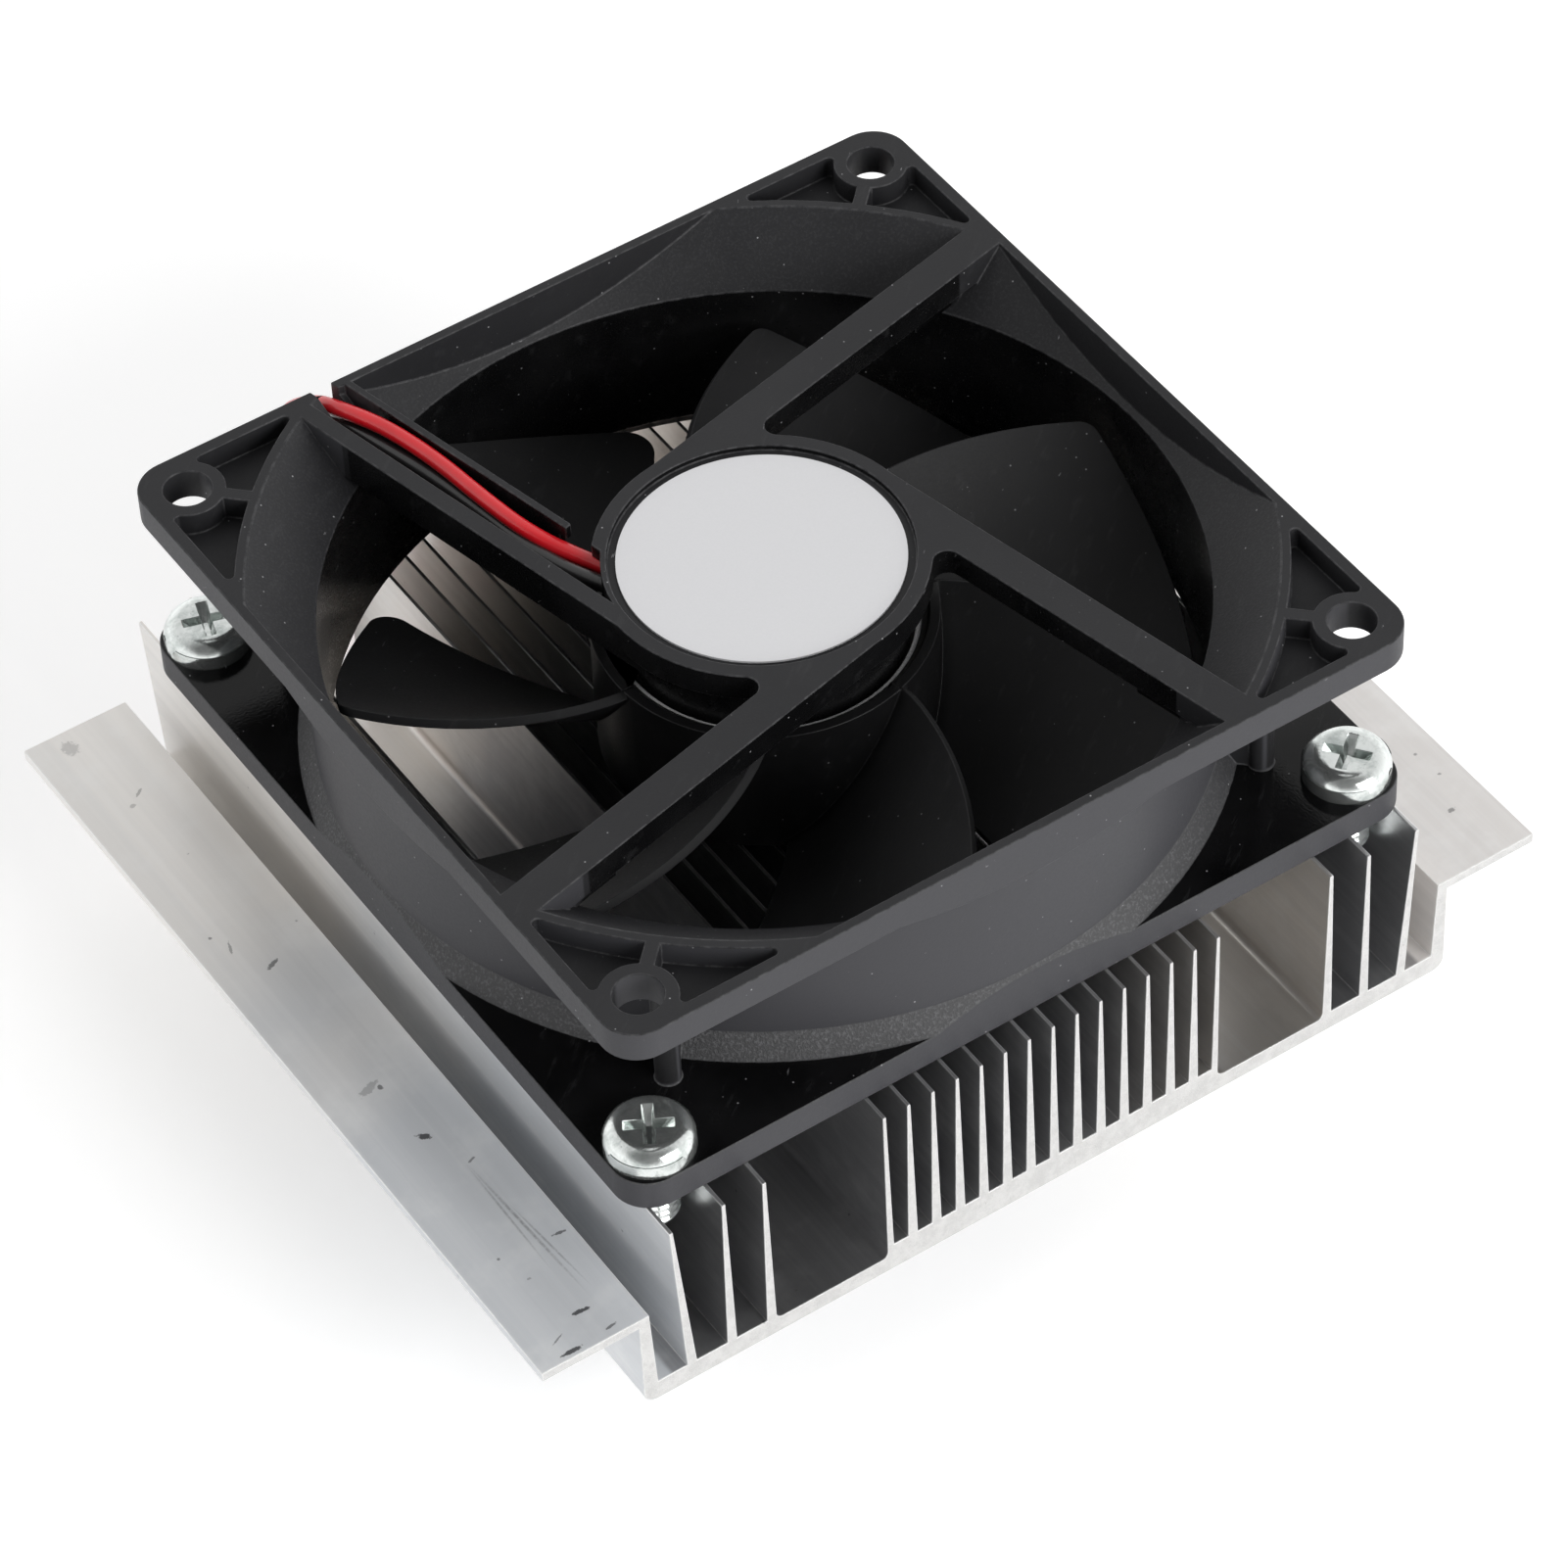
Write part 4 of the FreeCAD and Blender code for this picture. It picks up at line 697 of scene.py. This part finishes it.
@dataclass(frozen=True)
class FoamRubber(Finish):
    """Closed-cell foam or silicone: open cells at the cut faces and a dusty, soft colour."""

    cell: float = 0.5 * MM
    depth: float = 0.15 * MM
    cloud: float = 6 * MM

    def dress(self, tree: FinishTree) -> None:
        """Adds cells of two sizes and a cloudy colour.

        Args:
            tree: the new material's tree.
        """
        large = tree.cells(self.cell)
        small = tree.cells(0.4 * self.cell)
        pores = tree.product(tree.band(large, 0.1, 0.55), tree.band(small, 0.0, 0.5, 0.6, 1.0))
        cloud = tree.band(tree.noise(self.cloud, 3.0), 0.35, 0.65)
        body = tree.blend(cloud, self.colour, shaded(self.colour, 1.3))
        tree.surface(tree.blend(pores, shaded(self.colour, 0.5), body),
                     tree.band(pores, 0.0, 1.0, 0.95, self.roughness), tree.bump(pores, self.depth))


@dataclass(frozen=True)
class MineralPlate(Finish):
    """Fired ceramic, pressed magnet or grown crystal: speckled, with a faint grain."""

    speck: float = 0.4 * MM
    cloud: float = 7 * MM
    depth: float = 0.008 * MM
    speck_colour: Colour = (0.6, 0.6, 0.58)
    metallic: float = 0.0

    def dress(self, tree: FinishTree) -> None:
        """Adds the speckle and the grain.

        Args:
            tree: the new material's tree.
        """
        speckle = tree.band(tree.noise(self.speck, 4.0, 0.7), 0.45, 0.65)
        cloud = tree.band(tree.noise(self.cloud), 0.3, 0.7, 0.0, 0.4)
        colour = tree.blend(speckle, self.colour, self.speck_colour)
        tree.constant(Metallic=self.metallic)
        tree.surface(tree.blend(cloud, colour, shaded(self.colour, 0.85)),
                     tree.band(speckle, 0.0, 1.0, self.roughness, self.roughness + 0.12),
                     tree.bump(speckle, self.depth))


@dataclass(frozen=True)
class PrintedBoard(Finish):
    """Circuit board: solder mask over traces, with bare pads."""

    copper: Colour = (0.10, 0.32, 0.12)
    pad: Colour = (0.75, 0.72, 0.66)
    trace: float = 6 * MM
    trace_gap: float = 0.06
    pad_spacing: float = 3.2 * MM
    cloud: float = 0.8 * MM
    depth: float = 0.03 * MM

    def dress(self, tree: FinishTree) -> None:
        """Adds the traces under the mask and the tinned pads.

        Args:
            tree: the new material's tree.
        """
        trace = tree.add("TexBrick", Scale=1 / self.trace, Mortar_Size=self.trace_gap,
                         Vector=tree.point).outputs["Fac"]
        pads = tree.band(tree.cells(self.pad_spacing, 0.4), 0.16, 0.19, 1.0, 0.0)
        mask = tree.blend(trace, self.colour, self.copper)
        tree.drive("Metallic", pads)
        tree.surface(tree.blend(pads, mask, self.pad),
                     tree.band(tree.noise(self.cloud), 0.3, 0.7, self.roughness, self.roughness + 0.15),
                     tree.bump(tree.maths("ADD", trace, pads), self.depth))


@dataclass(frozen=True)
class LabelFilm(Finish):
    """Pale printed film: a faint fibre and slight waves where it is stuck down."""

    fibre: float = 0.25 * MM
    fibre_depth: float = 0.004 * MM
    wave: float = 11 * MM
    wave_depth: float = 0.12 * MM

    def dress(self, tree: FinishTree) -> None:
        """Adds the fibre and the waves.

        Args:
            tree: the new material's tree.
        """
        fibre = tree.noise(self.fibre, 3.0, 0.7)
        wave = tree.noise(self.wave, 2.0, 0.4)
        waves = tree.bump(wave, self.wave_depth, 0.5)
        tree.surface(tree.blend(tree.band(fibre, 0.3, 0.7), shaded(self.colour, 0.97), self.colour),
                     tree.band(wave, 0.35, 0.65, self.roughness - 0.08, self.roughness + 0.08),
                     tree.bump(fibre, self.fibre_depth, under=waves))


@dataclass(frozen=True)
class LeadSheath(Finish):
    """Extruded flexible sheath: glossy, with faint drawn ripples and thumbed, duller patches."""

    ripple: float = 0.9 * MM
    depth: float = 0.03 * MM
    patch: float = 5 * MM

    def dress(self, tree: FinishTree) -> None:
        """Adds the ripples and the duller patches.

        Args:
            tree: the new material's tree.
        """
        patch = tree.noise(self.patch, 3.0, 0.6)
        tree.constant(Coat_Weight=0.35, Coat_Roughness=0.12, Specular_IOR_Level=0.55)
        tree.surface(tree.blend(tree.band(patch, 0.35, 0.7, 0.0, 0.5), self.colour, shaded(self.colour, 0.78)),
                     tree.band(patch, 0.3, 0.7, self.roughness - 0.06, self.roughness + 0.12),
                     tree.bump(tree.noise(self.ripple), self.depth, 0.6))


FLANGE_MARKS = tuple(Mark(*row) for row in (
    (-55.3, 47.4, 1.6, 2.0, 0.0, 0.30), (-52.6, 37.9, 1.2, 0.35, 35.0, 0.45),
    (-54.1, 36.6, 0.8, 0.5, 0.0, 0.35), (-56.9, 16.2, 0.35, 0.35, 0.0, 0.6),
    (-55.9, 13.9, 0.3, 1.7, -20.0, 0.5), (-53.6, 9.5, 1.6, 0.5, 25.0, 0.7),
    (-54.3, -10.1, 2.3, 0.9, 20.0, 0.35), (-53.2, -10.6, 0.5, 0.6, 0.0, 0.7),
    (-53.0, -18.5, 1.4, 0.75, -35.0, 0.9), (-50.8, -23.7, 0.9, 0.25, 20.0, 0.6),
    (-48.8, -36.4, 1.5, 0.32, -5.0, 0.75), (-55.3, -35.8, 0.3, 0.3, 0.0, 0.6),
    (-54.2, -39.5, 0.5, 0.25, 0.0, 0.4), (-52.3, -45.7, 1.9, 0.5, -5.0, 0.9),
    (-50.9, -48.9, 1.3, 0.3, 10.0, 0.7), (-55.9, -47.3, 1.7, 0.18, 25.0, 0.6),
    (-55.6, -49.3, 2.2, 0.5, 0.0, 0.9), (-51.0, -33.9, 0.22, 10.5, 2.5, 0.50, False),
    (-51.7, -31.5, 0.16, 8.5, -1.0, 0.38, False), (-50.3, -37.0, 0.16, 7.0, 4.5, 0.42, False),
    (56.5, -34.3, 0.4, 0.4, 0.0, 0.5), (56.8, -37.9, 0.4, 0.3, 0.0, 0.5),
    (54.7, -42.6, 0.9, 0.5, 0.0, 0.6),
))

BLACK_PLASTIC = MouldedPlastic("black_plastic", srgb(29, 29, 30), 0.52, dust=0.6)
# the impeller's eased edges get a darker tint: little wear and only a faint painted highlight
ROTOR_PLASTIC = RotorMoulding("rotor_plastic", srgb(31, 31, 32), 0.55, specular=0.20, dust=0.6,
                              rubbed_and_painted_highlight_colour=(0.022, 0.022, 0.023))
FRAME_PLASTIC = FrameMoulding("frame_plastic", srgb(38, 38, 40), 0.50, specular=0.23)
NATURAL_NYLON = MouldedPlastic("natural_nylon", srgb(222, 216, 200), 0.42, dust=0.0)
EXTRUDED_ALUMINIUM = MillAluminium("extruded_aluminium", srgb(242, 239, 235), 0.32, marks=FLANGE_MARKS)
PLATE_ALUMINIUM = MillAluminium("plate_aluminium", srgb(196, 198, 199), 0.30, along=Axis.X)
ZINC_STEEL = PlatedSteel("zinc_steel", srgb(227, 231, 229), 0.11, cloud_colour=srgb(183, 190, 187),
                         metallic=0.90)
DRAWN_STEEL = PlatedSteel("drawn_steel", srgb(206, 206, 204), 0.24, cloud_colour=srgb(180, 180, 178))
# near-white, mostly diffuse steel for the rotor cup: a painted highlight, so that its rim shows as a bright
# line
CUP_PAINTED_HIGHLIGHT_STEEL = PlatedSteel("cup_painted_highlight_steel", srgb(250, 250, 250), 0.24, cloud_colour=srgb(240, 240, 240),
                        metallic=0.2)
TINNED_BRASS = PlatedSteel("tinned_brass", srgb(214, 210, 198), 0.26, cloud_colour=srgb(190, 184, 166))
BRASS = TurnedMetal("brass", srgb(206, 170, 96), 0.24)
BRONZE = TurnedMetal("bronze", srgb(168, 122, 78), 0.42, mottle=0.6)
CORE_STEEL = StripedMetal("core_steel", srgb(150, 150, 152), 0.38)
COPPER = StripedMetal("copper", srgb(196, 108, 62), 0.22, pitch=0.24 * MM, depth=0.05 * MM,
                      gap_colour=srgb(70, 28, 14))
MAGNET = MineralPlate("magnet", srgb(44, 42, 42), 0.55, speck_colour=srgb(70, 67, 66))
CERAMIC = MineralPlate("ceramic", srgb(236, 235, 230), 0.42, speck_colour=srgb(224, 222, 214))
TELLURIDE = MineralPlate("telluride", srgb(120, 122, 126), 0.34, speck_colour=srgb(160, 162, 166),
                         metallic=0.8)
BOARD_GREEN = PrintedBoard("board_green", srgb(18, 74, 38), 0.32)
LABEL_FILM = LabelFilm("label_film", srgb(216, 216, 218), 0.42)
FOAM = FoamRubber("foam", srgb(52, 52, 54), 0.85)
SEALANT = FoamRubber("sealant", srgb(226, 226, 222), 0.5, cell=1.6 * MM, depth=0.05 * MM)
RED_SHEATH = LeadSheath("red_sheath", srgb(214, 22, 34), 0.30)
BLACK_SHEATH = LeadSheath("black_sheath", srgb(32, 31, 32), 0.32)

NODE_FINISHES: tuple[tuple[Finish, tuple[str, ...]], ...] = (
    (BLACK_PLASTIC, ("hall_sensor", "drive_chip")),
    (DRAWN_STEEL, ("rotor_shaft", "retaining_clip")),
    (MAGNET, ("magnet_ring",)),
    (BRASS, ("shaft_boss", "bearing_tube")),
    (BRONZE, ("bearing_sleeve",)),
    (NATURAL_NYLON, ("thrust_washers", "winding_frame_upper", "winding_frame_lower", "clamp_bushes")),
    (CORE_STEEL, ("stator_core",)),
    (COPPER, ("motor_windings", "hot_tabs", "cold_tabs")),
    (BOARD_GREEN, ("circuit_board",)),
    (LABEL_FILM, ("label_disc",)),
    (ZINC_STEEL, ("clamp_screws",)),
    (FOAM, ("insulation_gasket",)),
    (CERAMIC, ("hot_ceramic", "cold_ceramic")),
    (TELLURIDE, ("semiconductor_legs",)),
    (SEALANT, ("edge_seal",)),
    (TINNED_BRASS, ("plug_contacts",)),
)


@dataclass(frozen=True)
class EasedPart:
    """Merged copy of a CAD node with its sharp edges eased, which takes the node's place."""

    node: str
    name: str
    slot: str
    finish: Finish
    ease: float
    sharp: float = 32.0
    body: str = HOUSING
    merge: float = 0.002
    flat: float = 0.6
    shade: float = 38.0
    plain: Pair = (0.0, 0.0)
    underside: float = -0.9

    def bevel(self, shape: Shape, edges: list[bmesh.types.BMEdge], width: float, segments: int) -> None:
        """Rounds some edges and notes on the new faces that they are eased.

        Args:
            shape: the part's mesh.
            edges: the edges that are rounded.
            width: how far the rounding reaches from each edge, in millimetres.
            segments: how many faces go round it.
        """
        eased = shape.faces.layers.float[EASED]
        made = bmesh.ops.bevel(shape, geom=edges, offset=width * MM, offset_type="OFFSET",
                               segments=segments, profile=0.5, affect="EDGES", material=-1,
                               clamp_overlap=False, loop_slide=False)
        for face in made["faces"]:
            face[eased] = 1.0

    def shaped(self, shape: Shape) -> None:
        """Eases the sharp edges, but none of an eased face or of an underside in the plain heights."""
        limit = math.radians(self.sharp)
        low, high = (height * MM for height in self.plain)
        eased = shape.faces.layers.float[EASED]
        kept = {f for f in shape.faces
                if f[eased] or (f.normal.z < self.underside and low < f.verts[0].co.z < high)}
        self.bevel(shape, [e for e in shape.edges if e.is_manifold and e.calc_face_angle(0.0) > limit
                           and kept.isdisjoint(e.link_faces)], self.ease, 2)

    def added(self, shape: Shape) -> None:
        """Adds what the CAD node leaves out; nothing here."""

    def build(self) -> bpy.types.Object:
        """Makes the copy, hides the node and says what moves it.

        Returns:
            The copy's object.
        """
        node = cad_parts[self.node]
        shape = bmesh.new()
        shape.from_mesh(node.data)
        shape.faces.layers.float.new(EASED)
        bmesh.ops.remove_doubles(shape, verts=shape.verts, dist=self.merge * MM)
        bmesh.ops.dissolve_limit(shape, angle_limit=math.radians(self.flat), verts=shape.verts,
                                 edges=shape.edges)
        self.shaped(shape)
        self.added(shape)
        mesh = bpy.data.meshes.new(self.name)
        shape.to_mesh(mesh)
        shape.free()
        mesh.shade_smooth()
        mesh.set_sharp_from_angle(angle=math.radians(self.shade))
        mesh.materials.append(self.finish.material())
        part = placed(self.name, mesh)
        weighted = part.modifiers.new("even_shading", "WEIGHTED_NORMAL")
        weighted.keep_sharp = True
        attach(part, self.body)
        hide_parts(self.node)
        log.info("%s eased by %.2f mm in %s", self.name, self.ease, self.finish.name)
        return part


@dataclass(frozen=True)
class Impeller(EasedPart):
    """The impeller: its hub's inner lip is sloped, so that the steel cup's rim shows inside it."""

    lip: float = 0.8
    lip_radius: float = 15.65
    lip_height: float = 51.8
    near: float = 0.03

    def on_lip(self, place: Vector) -> bool:
        """Whether a point lies on the lip."""
        radius = math.hypot(place.x, place.y - FAN_SHIFT)
        return (abs(place.z - self.lip_height * MM) < self.near * MM
                and abs(radius - self.lip_radius * MM) < self.near * MM)

    def shaped(self, shape: Shape) -> None:
        """Slopes the lip, eases the other edges, and leaves the slope out of the eased faces."""
        rim = [e for e in shape.edges if all(self.on_lip(v.co) for v in e.verts)]
        self.bevel(shape, rim, self.lip, 1)
        super().shaped(shape)
        eased = shape.faces.layers.float[EASED]
        foot = (self.lip_height - self.lip) * MM
        for face in shape.faces:
            if abs(face.normal.z - math.sqrt(0.5)) < 0.05 and face.calc_center_median().z > foot:
                face[eased] = 0.0


@dataclass(frozen=True)
class FanScrewSet(EasedPart):
    """The fan's four pan-head screws: rounded shoulders, and a thread below the flange."""

    shoulder: float = 0.75
    head_radius: float = 4.55
    head_foot: float = 38.4
    head_edge: float = 0.9
    near: float = 0.05
    spacing: float = 41.25
    core: float = 2.28
    crest: float = 2.52
    pitch: float = 0.9
    ridge: float = 0.32
    thread_top: float = 34.7
    turns: int = 6
    steps: int = 20

    def on_shoulder(self, place: Vector) -> bool:
        """Whether a point lies on the rim of a head's top."""
        side = self.spacing * MM
        radius = math.hypot(abs(place.x) - side, abs(place.y - FAN_SHIFT) - side)
        return (abs(place.z - (self.head_foot + self.head_edge) * MM) < self.near * MM
                and radius > (self.head_radius - self.near) * MM)

    def shaped(self, shape: Shape) -> None:
        """Rounds each head's shoulder wide, and the other edges finely."""
        rim = [e for e in shape.edges if all(self.on_shoulder(v.co) for v in e.verts)]
        self.bevel(shape, rim, self.shoulder, 4)
        super().shaped(shape)

    def added(self, shape: Shape) -> None:
        """Winds a ridge round each shank, from under the flange down."""
        for x in (-self.spacing, self.spacing):
            for y in (-self.spacing, self.spacing):
                self.thread(shape, Vector((x * MM, y * MM + FAN_SHIFT, 0.0)))

    def thread(self, shape: Shape, axis: Vector) -> None:
        """Winds one ridge as a closed tube of triangular section.

        Args:
            shape: the mesh that it is added to.
            axis: a point on the screw's axis.
        """
        half = self.ridge * self.pitch
        section = [(self.core, half), (self.crest, 0.0), (self.core, -half)]
        head = set(shape.faces)
        corners = [shape.verts.new(axis + Vector((r * MM, 0.0, (self.thread_top + z) * MM)))
                   for r, z in section]
        loop = [shape.edges.new((corners[i], corners[(i + 1) % 3])) for i in range(3)]
        count = self.turns * self.steps
        made = bmesh.ops.spin(shape, geom=corners + loop, cent=axis, axis=(0.0, 0.0, 1.0),
                              dvec=(0.0, 0.0, -self.pitch * MM / self.steps),
                              angle=math.tau * self.turns, steps=count)
        last = [v for v in made["geom_last"] if isinstance(v, bmesh.types.BMVert)]
        for cap in (corners, last):
            shape.faces.new(cap)
        bmesh.ops.recalc_face_normals(shape, faces=[f for f in shape.faces if f not in head])


EASED_PARTS: tuple[EasedPart, ...] = (
    EasedPart("heat_sink", "heat_sink_extrusion", "extruded_aluminium", EXTRUDED_ALUMINIUM, 0.10, 30.0),
    EasedPart("fan_frame", "fan_frame_moulding", "black_plastic", FRAME_PLASTIC, 0.15,
              plain=(54.0, 55.9)),
    Impeller("impeller", "impeller_moulding", "black_plastic", ROTOR_PLASTIC, 0.12, 40.0, ROTOR),
    # the rotor cup in near-white steel: a painted highlight on its rim
    EasedPart("rotor_cup", "rotor_cup_shell", "drawn_steel", CUP_PAINTED_HIGHLIGHT_STEEL, 0.15, 40.0, ROTOR),
    EasedPart("cold_plate", "cold_plate_block", "plate_aluminium", PLATE_ALUMINIUM, 0.25),
    FanScrewSet("fan_screws", "fan_screw_set", "zinc_steel", ZINC_STEEL, 0.05),
)


@dataclass
class Leads:
    """The fan's two leads: along the strut's channel, down behind the module, coiled, to one plug."""

    radius: float = 0.85
    fan_shift: float = -0.9
    frame_top: float = 59.8
    strut_angle: float = 102.8
    coil_centre: Pair = (0.0, 63.1)
    coil_radius: float = 9.3
    coil_turns: int = 2
    coil_pitch: float = 1.85
    coil_steps: int = 16
    plug: Point = (22.0, 55.2, 2.8)
    plug_pitch: float = 2.5
    red_in_channel: Path = (
        (-8.9, 8.4, -2.55), (-10.6, 15.3, -2.55), (-12.2, 20.6, -1.3), (-12.0, 27.0, -0.9),
        (-11.1, 34.5, -1.0), (-11.25, 41.5, -0.9), (-12.25, 46.8, -1.1), (-12.15, 51.2, -2.7),
    )
    black_in_channel: Path = (
        (-10.4, 6.4, -2.55), (-12.3, 12.2, -2.55), (-13.0, 19.5, -2.55), (-12.5, 26.5, -2.45),
        (-12.1, 34.0, -2.5), (-12.4, 41.0, -2.5), (-12.2, 46.0, -3.0), (-12.15, 49.6, -4.5),
    )
    red_to_coil: Path = (
        (-23.8, 53.3, 50.5), (-24.4, 55.2, 38.0), (-24.6, 56.3, 24.0), (-24.0, 56.4, 11.0),
        (-20.5, 55.9, 3.2), (-13.0, 54.9, 0.9), (-6.0, 54.0, 0.87),
    )
    black_to_coil: Path = (
        (-23.3, 50.9, 49.5), (-23.6, 52.9, 37.5), (-23.8, 53.6, 25.0), (-23.2, 53.7, 14.5),
        (-20.2, 53.3, 8.3), (-14.0, 52.9, 6.5), (-7.0, 53.1, 6.4),
    )
    red_to_plug: Path = ((5.0, 53.6, 4.3), (10.5, 53.8, 3.3), (16.0, 53.95, 2.8))
    black_to_plug: Path = (
        (5.0, 53.8, 9.9), (9.8, 54.7, 8.2), (13.8, 55.9, 5.2), (17.8, 56.45, 2.8),
    )

    def in_channel(self, across: float, along: float, height: float) -> Point:
        """Point given across and along the channel strut and above the frame's top."""
        angle = math.radians(self.strut_angle)
        x = across * math.sin(angle) + along * math.cos(angle)
        y = -across * math.cos(angle) + along * math.sin(angle)
        return x, y + self.fan_shift, self.frame_top + height

    def turns(self, level: float) -> list[Point]:
        """Points of one coil's turns, both ends among them, from the height of the lead's middle up."""
        (x, y), radius = self.coil_centre, self.coil_radius
        turned = [step / self.coil_steps for step in range(self.coil_turns * self.coil_steps + 1)]
        return [(x + radius * math.sin(math.tau * share), y - radius * math.cos(math.tau * share),
                 level + self.coil_pitch * share) for share in turned]

    def route(self, black: bool) -> list[Point]:
        """All control points of one lead, in millimetres.

        Args:
            black: whether this is the black lead, whose coil lies on the red one.

        Returns:
            The points from the circuit board to the plug.
        """
        channel = self.black_in_channel if black else self.red_in_channel
        behind = self.black_to_coil if black else self.red_to_coil
        ahead = self.black_to_plug if black else self.red_to_plug
        level = self.radius + (self.coil_turns + 1) * self.coil_pitch * black
        side = self.plug_pitch / 2 if black else -self.plug_pitch / 2
        entry = (self.plug[0], self.plug[1] + side, self.plug[2])
        return [self.in_channel(*p) for p in channel] + [*behind, *self.turns(level), *ahead, entry]

    def lead(self, name: str, points: list[Point]) -> bpy.types.Object:
        """One lead as a smooth round curve.

        Args:
            name: name of the piece.
            points: its control points, in millimetres.

        Returns:
            The curve's object.
        """
        curve = bpy.data.curves.new(name, "CURVE")
        curve.dimensions = "3D"
        curve.resolution_u = 8
        curve.bevel_depth = self.radius * MM
        curve.bevel_resolution = 5
        curve.use_fill_caps = True
        spline = curve.splines.new("NURBS")
        spline.points.add(len(points) - 1)
        for place, point in zip(spline.points, points):
            place.co = (*(MM * value for value in point), 1.0)
        spline.order_u = 3
        spline.use_endpoint_u = True
        return placed(name, curve)

    def build(self) -> None:
        """Makes the plug and both leads, and says what moves the leads."""
        plug = EasedPart("lead_plug", "lead_plug_housing", "natural_nylon", NATURAL_NYLON, 0.14).build()
        for colour, finish in (("red", RED_SHEATH), ("black", BLACK_SHEATH)):
            points = self.route(finish is BLACK_SHEATH)
            lead = self.lead(f"{colour}_fan_lead", points)
            lead.data.materials.append(finish.material())
            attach(lead, HOUSING)
            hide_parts(f"{colour}_lead", f"{colour}_coil", f"{colour}_tail")
            log.info("%s lead laid", colour)


@dataclass
class Studio:
    """Camera, floor and lights."""

    azimuth: float = -31.690
    elevation: float = 46.809
    roll: float = -3.017
    distance: float = 0.6565
    lens: float = 150.49
    sensor: float = 36.0
    target: Point = (-0.00319, -0.00801, 0.0348)
    floor_side: float = 6.0
    floor_colour: Colour = (0.94, 0.94, 0.94)
    floor_glow: float = 0.30
    sky_low: float = 1.30
    sky_high: float = 0.78
    dark_side: Point = (-0.36, -0.58, 0.73)
    dark_share: float = 0.8
    lamp_place: Point = (0.25, -1.10, 0.55)
    lamp_aim: Point = (0.0, 0.0, 0.04)
    lamp_side: float = 0.7
    lamp_power: float = 11.0

    def camera(self) -> None:
        """Places the camera at the photograph's viewing angle."""
        turn, rise = math.radians(self.azimuth), math.radians(self.elevation)
        back = Vector((math.sin(turn) * math.cos(rise), -math.cos(turn) * math.cos(rise), math.sin(rise)))
        right = Vector((0.0, 0.0, 1.0)).cross(back).normalized()
        up = back.cross(right)
        roll = math.radians(self.roll)
        across = math.cos(roll) * right + math.sin(roll) * up
        above = -math.sin(roll) * right + math.cos(roll) * up
        data = bpy.data.cameras.new("camera")
        data.lens = self.lens
        data.sensor_width = self.sensor
        camera = placed("camera", data)
        matrix = Matrix((across, above, back)).transposed().to_4x4()
        matrix.translation = Vector(self.target) + back * self.distance
        camera.matrix_world = matrix
        bpy.context.scene.camera = camera

    def floor(self) -> None:
        """Lays a plain pale floor that keeps the module's shadow."""
        mesh = bpy.data.meshes.new("floor")
        shape = bmesh.new()
        bmesh.ops.create_grid(shape, x_segments=1, y_segments=1, size=self.floor_side / 2)
        shape.to_mesh(mesh)
        shape.free()
        tree = FinishTree("floor_paper")
        tree.constant(Base_Color=self.floor_colour, Roughness=0.9, Specular_IOR_Level=0.1,
                      Emission_Color=WHITE)
        rays = tree.add("LightPath").outputs
        seen = rays["Is Camera Ray"]
        for kind in ("Is Glossy Ray", "Is Transmission Ray"):
            seen = tree.maths("MAXIMUM", seen, rays[kind])
        tree.drive("Emission Strength", tree.product(seen, self.floor_glow))
        mesh.materials.append(tree.material)
        placed("floor", mesh)

    def sky(self) -> None:
        """White for the camera; for the rest white low down, dimmer above, dark on the camera's side."""
        world = bpy.data.worlds.new("studio")
        world.use_nodes = True
        tree = Tree(world.node_tree)
        place = tree.add("TexCoord").outputs["Generated"]
        height = tree.split(place, Axis.Z)
        darker = tree.vector("DOT_PRODUCT", place, self.dark_side)
        light = tree.product(
            tree.band(height, 0.05, 0.95, self.sky_low, self.sky_high, "SMOOTHSTEP"),
            tree.band(darker, 0.55, 0.95, 1.0, 1.0 - self.dark_share, "SMOOTHSTEP"))
        seen = tree.add("LightPath").outputs["Is Camera Ray"]
        background = tree.nodes["Background"].inputs
        tree.feed(background["Strength"], tree.level(seen, light, 1.0))
        tree.feed(background["Color"], (*WHITE, 1.0))
        bpy.context.scene.world = world

    def lamp(self) -> None:
        """Hangs one soft square lamp."""
        data = bpy.data.lights.new("key_lamp", "AREA")
        data.shape = "SQUARE"
        data.size = self.lamp_side
        data.energy = self.lamp_power
        lamp = placed("key_lamp", data)
        lamp.location = self.lamp_place
        towards = Vector(self.lamp_aim) - Vector(self.lamp_place)
        lamp.rotation_euler = towards.to_track_quat("-Z", "Y").to_euler()

    def build(self) -> None:
        """Sets up the whole studio."""
        self.camera()
        self.floor()
        self.sky()
        self.lamp()
        bpy.context.scene.view_settings.view_transform = "Standard"


def dress_nodes() -> None:
    """Gives every CAD node that keeps its own mesh its finish."""
    for finish, names in NODE_FINISHES:
        for name in names:
            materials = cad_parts[name].data.materials
            materials.clear()
            materials.append(finish.material())
            log.info("%s dressed in %s", name, finish.name)


def main() -> None:
    """Builds the studio, dresses the module, eases its main parts and lays the leads."""
    logging.basicConfig(level=logging.INFO, format="%(message)s")
    Studio().build()
    dress_nodes()
    for part in EASED_PARTS:
        part.build()
    Leads().build()


if __name__ == "__main__":
    main()
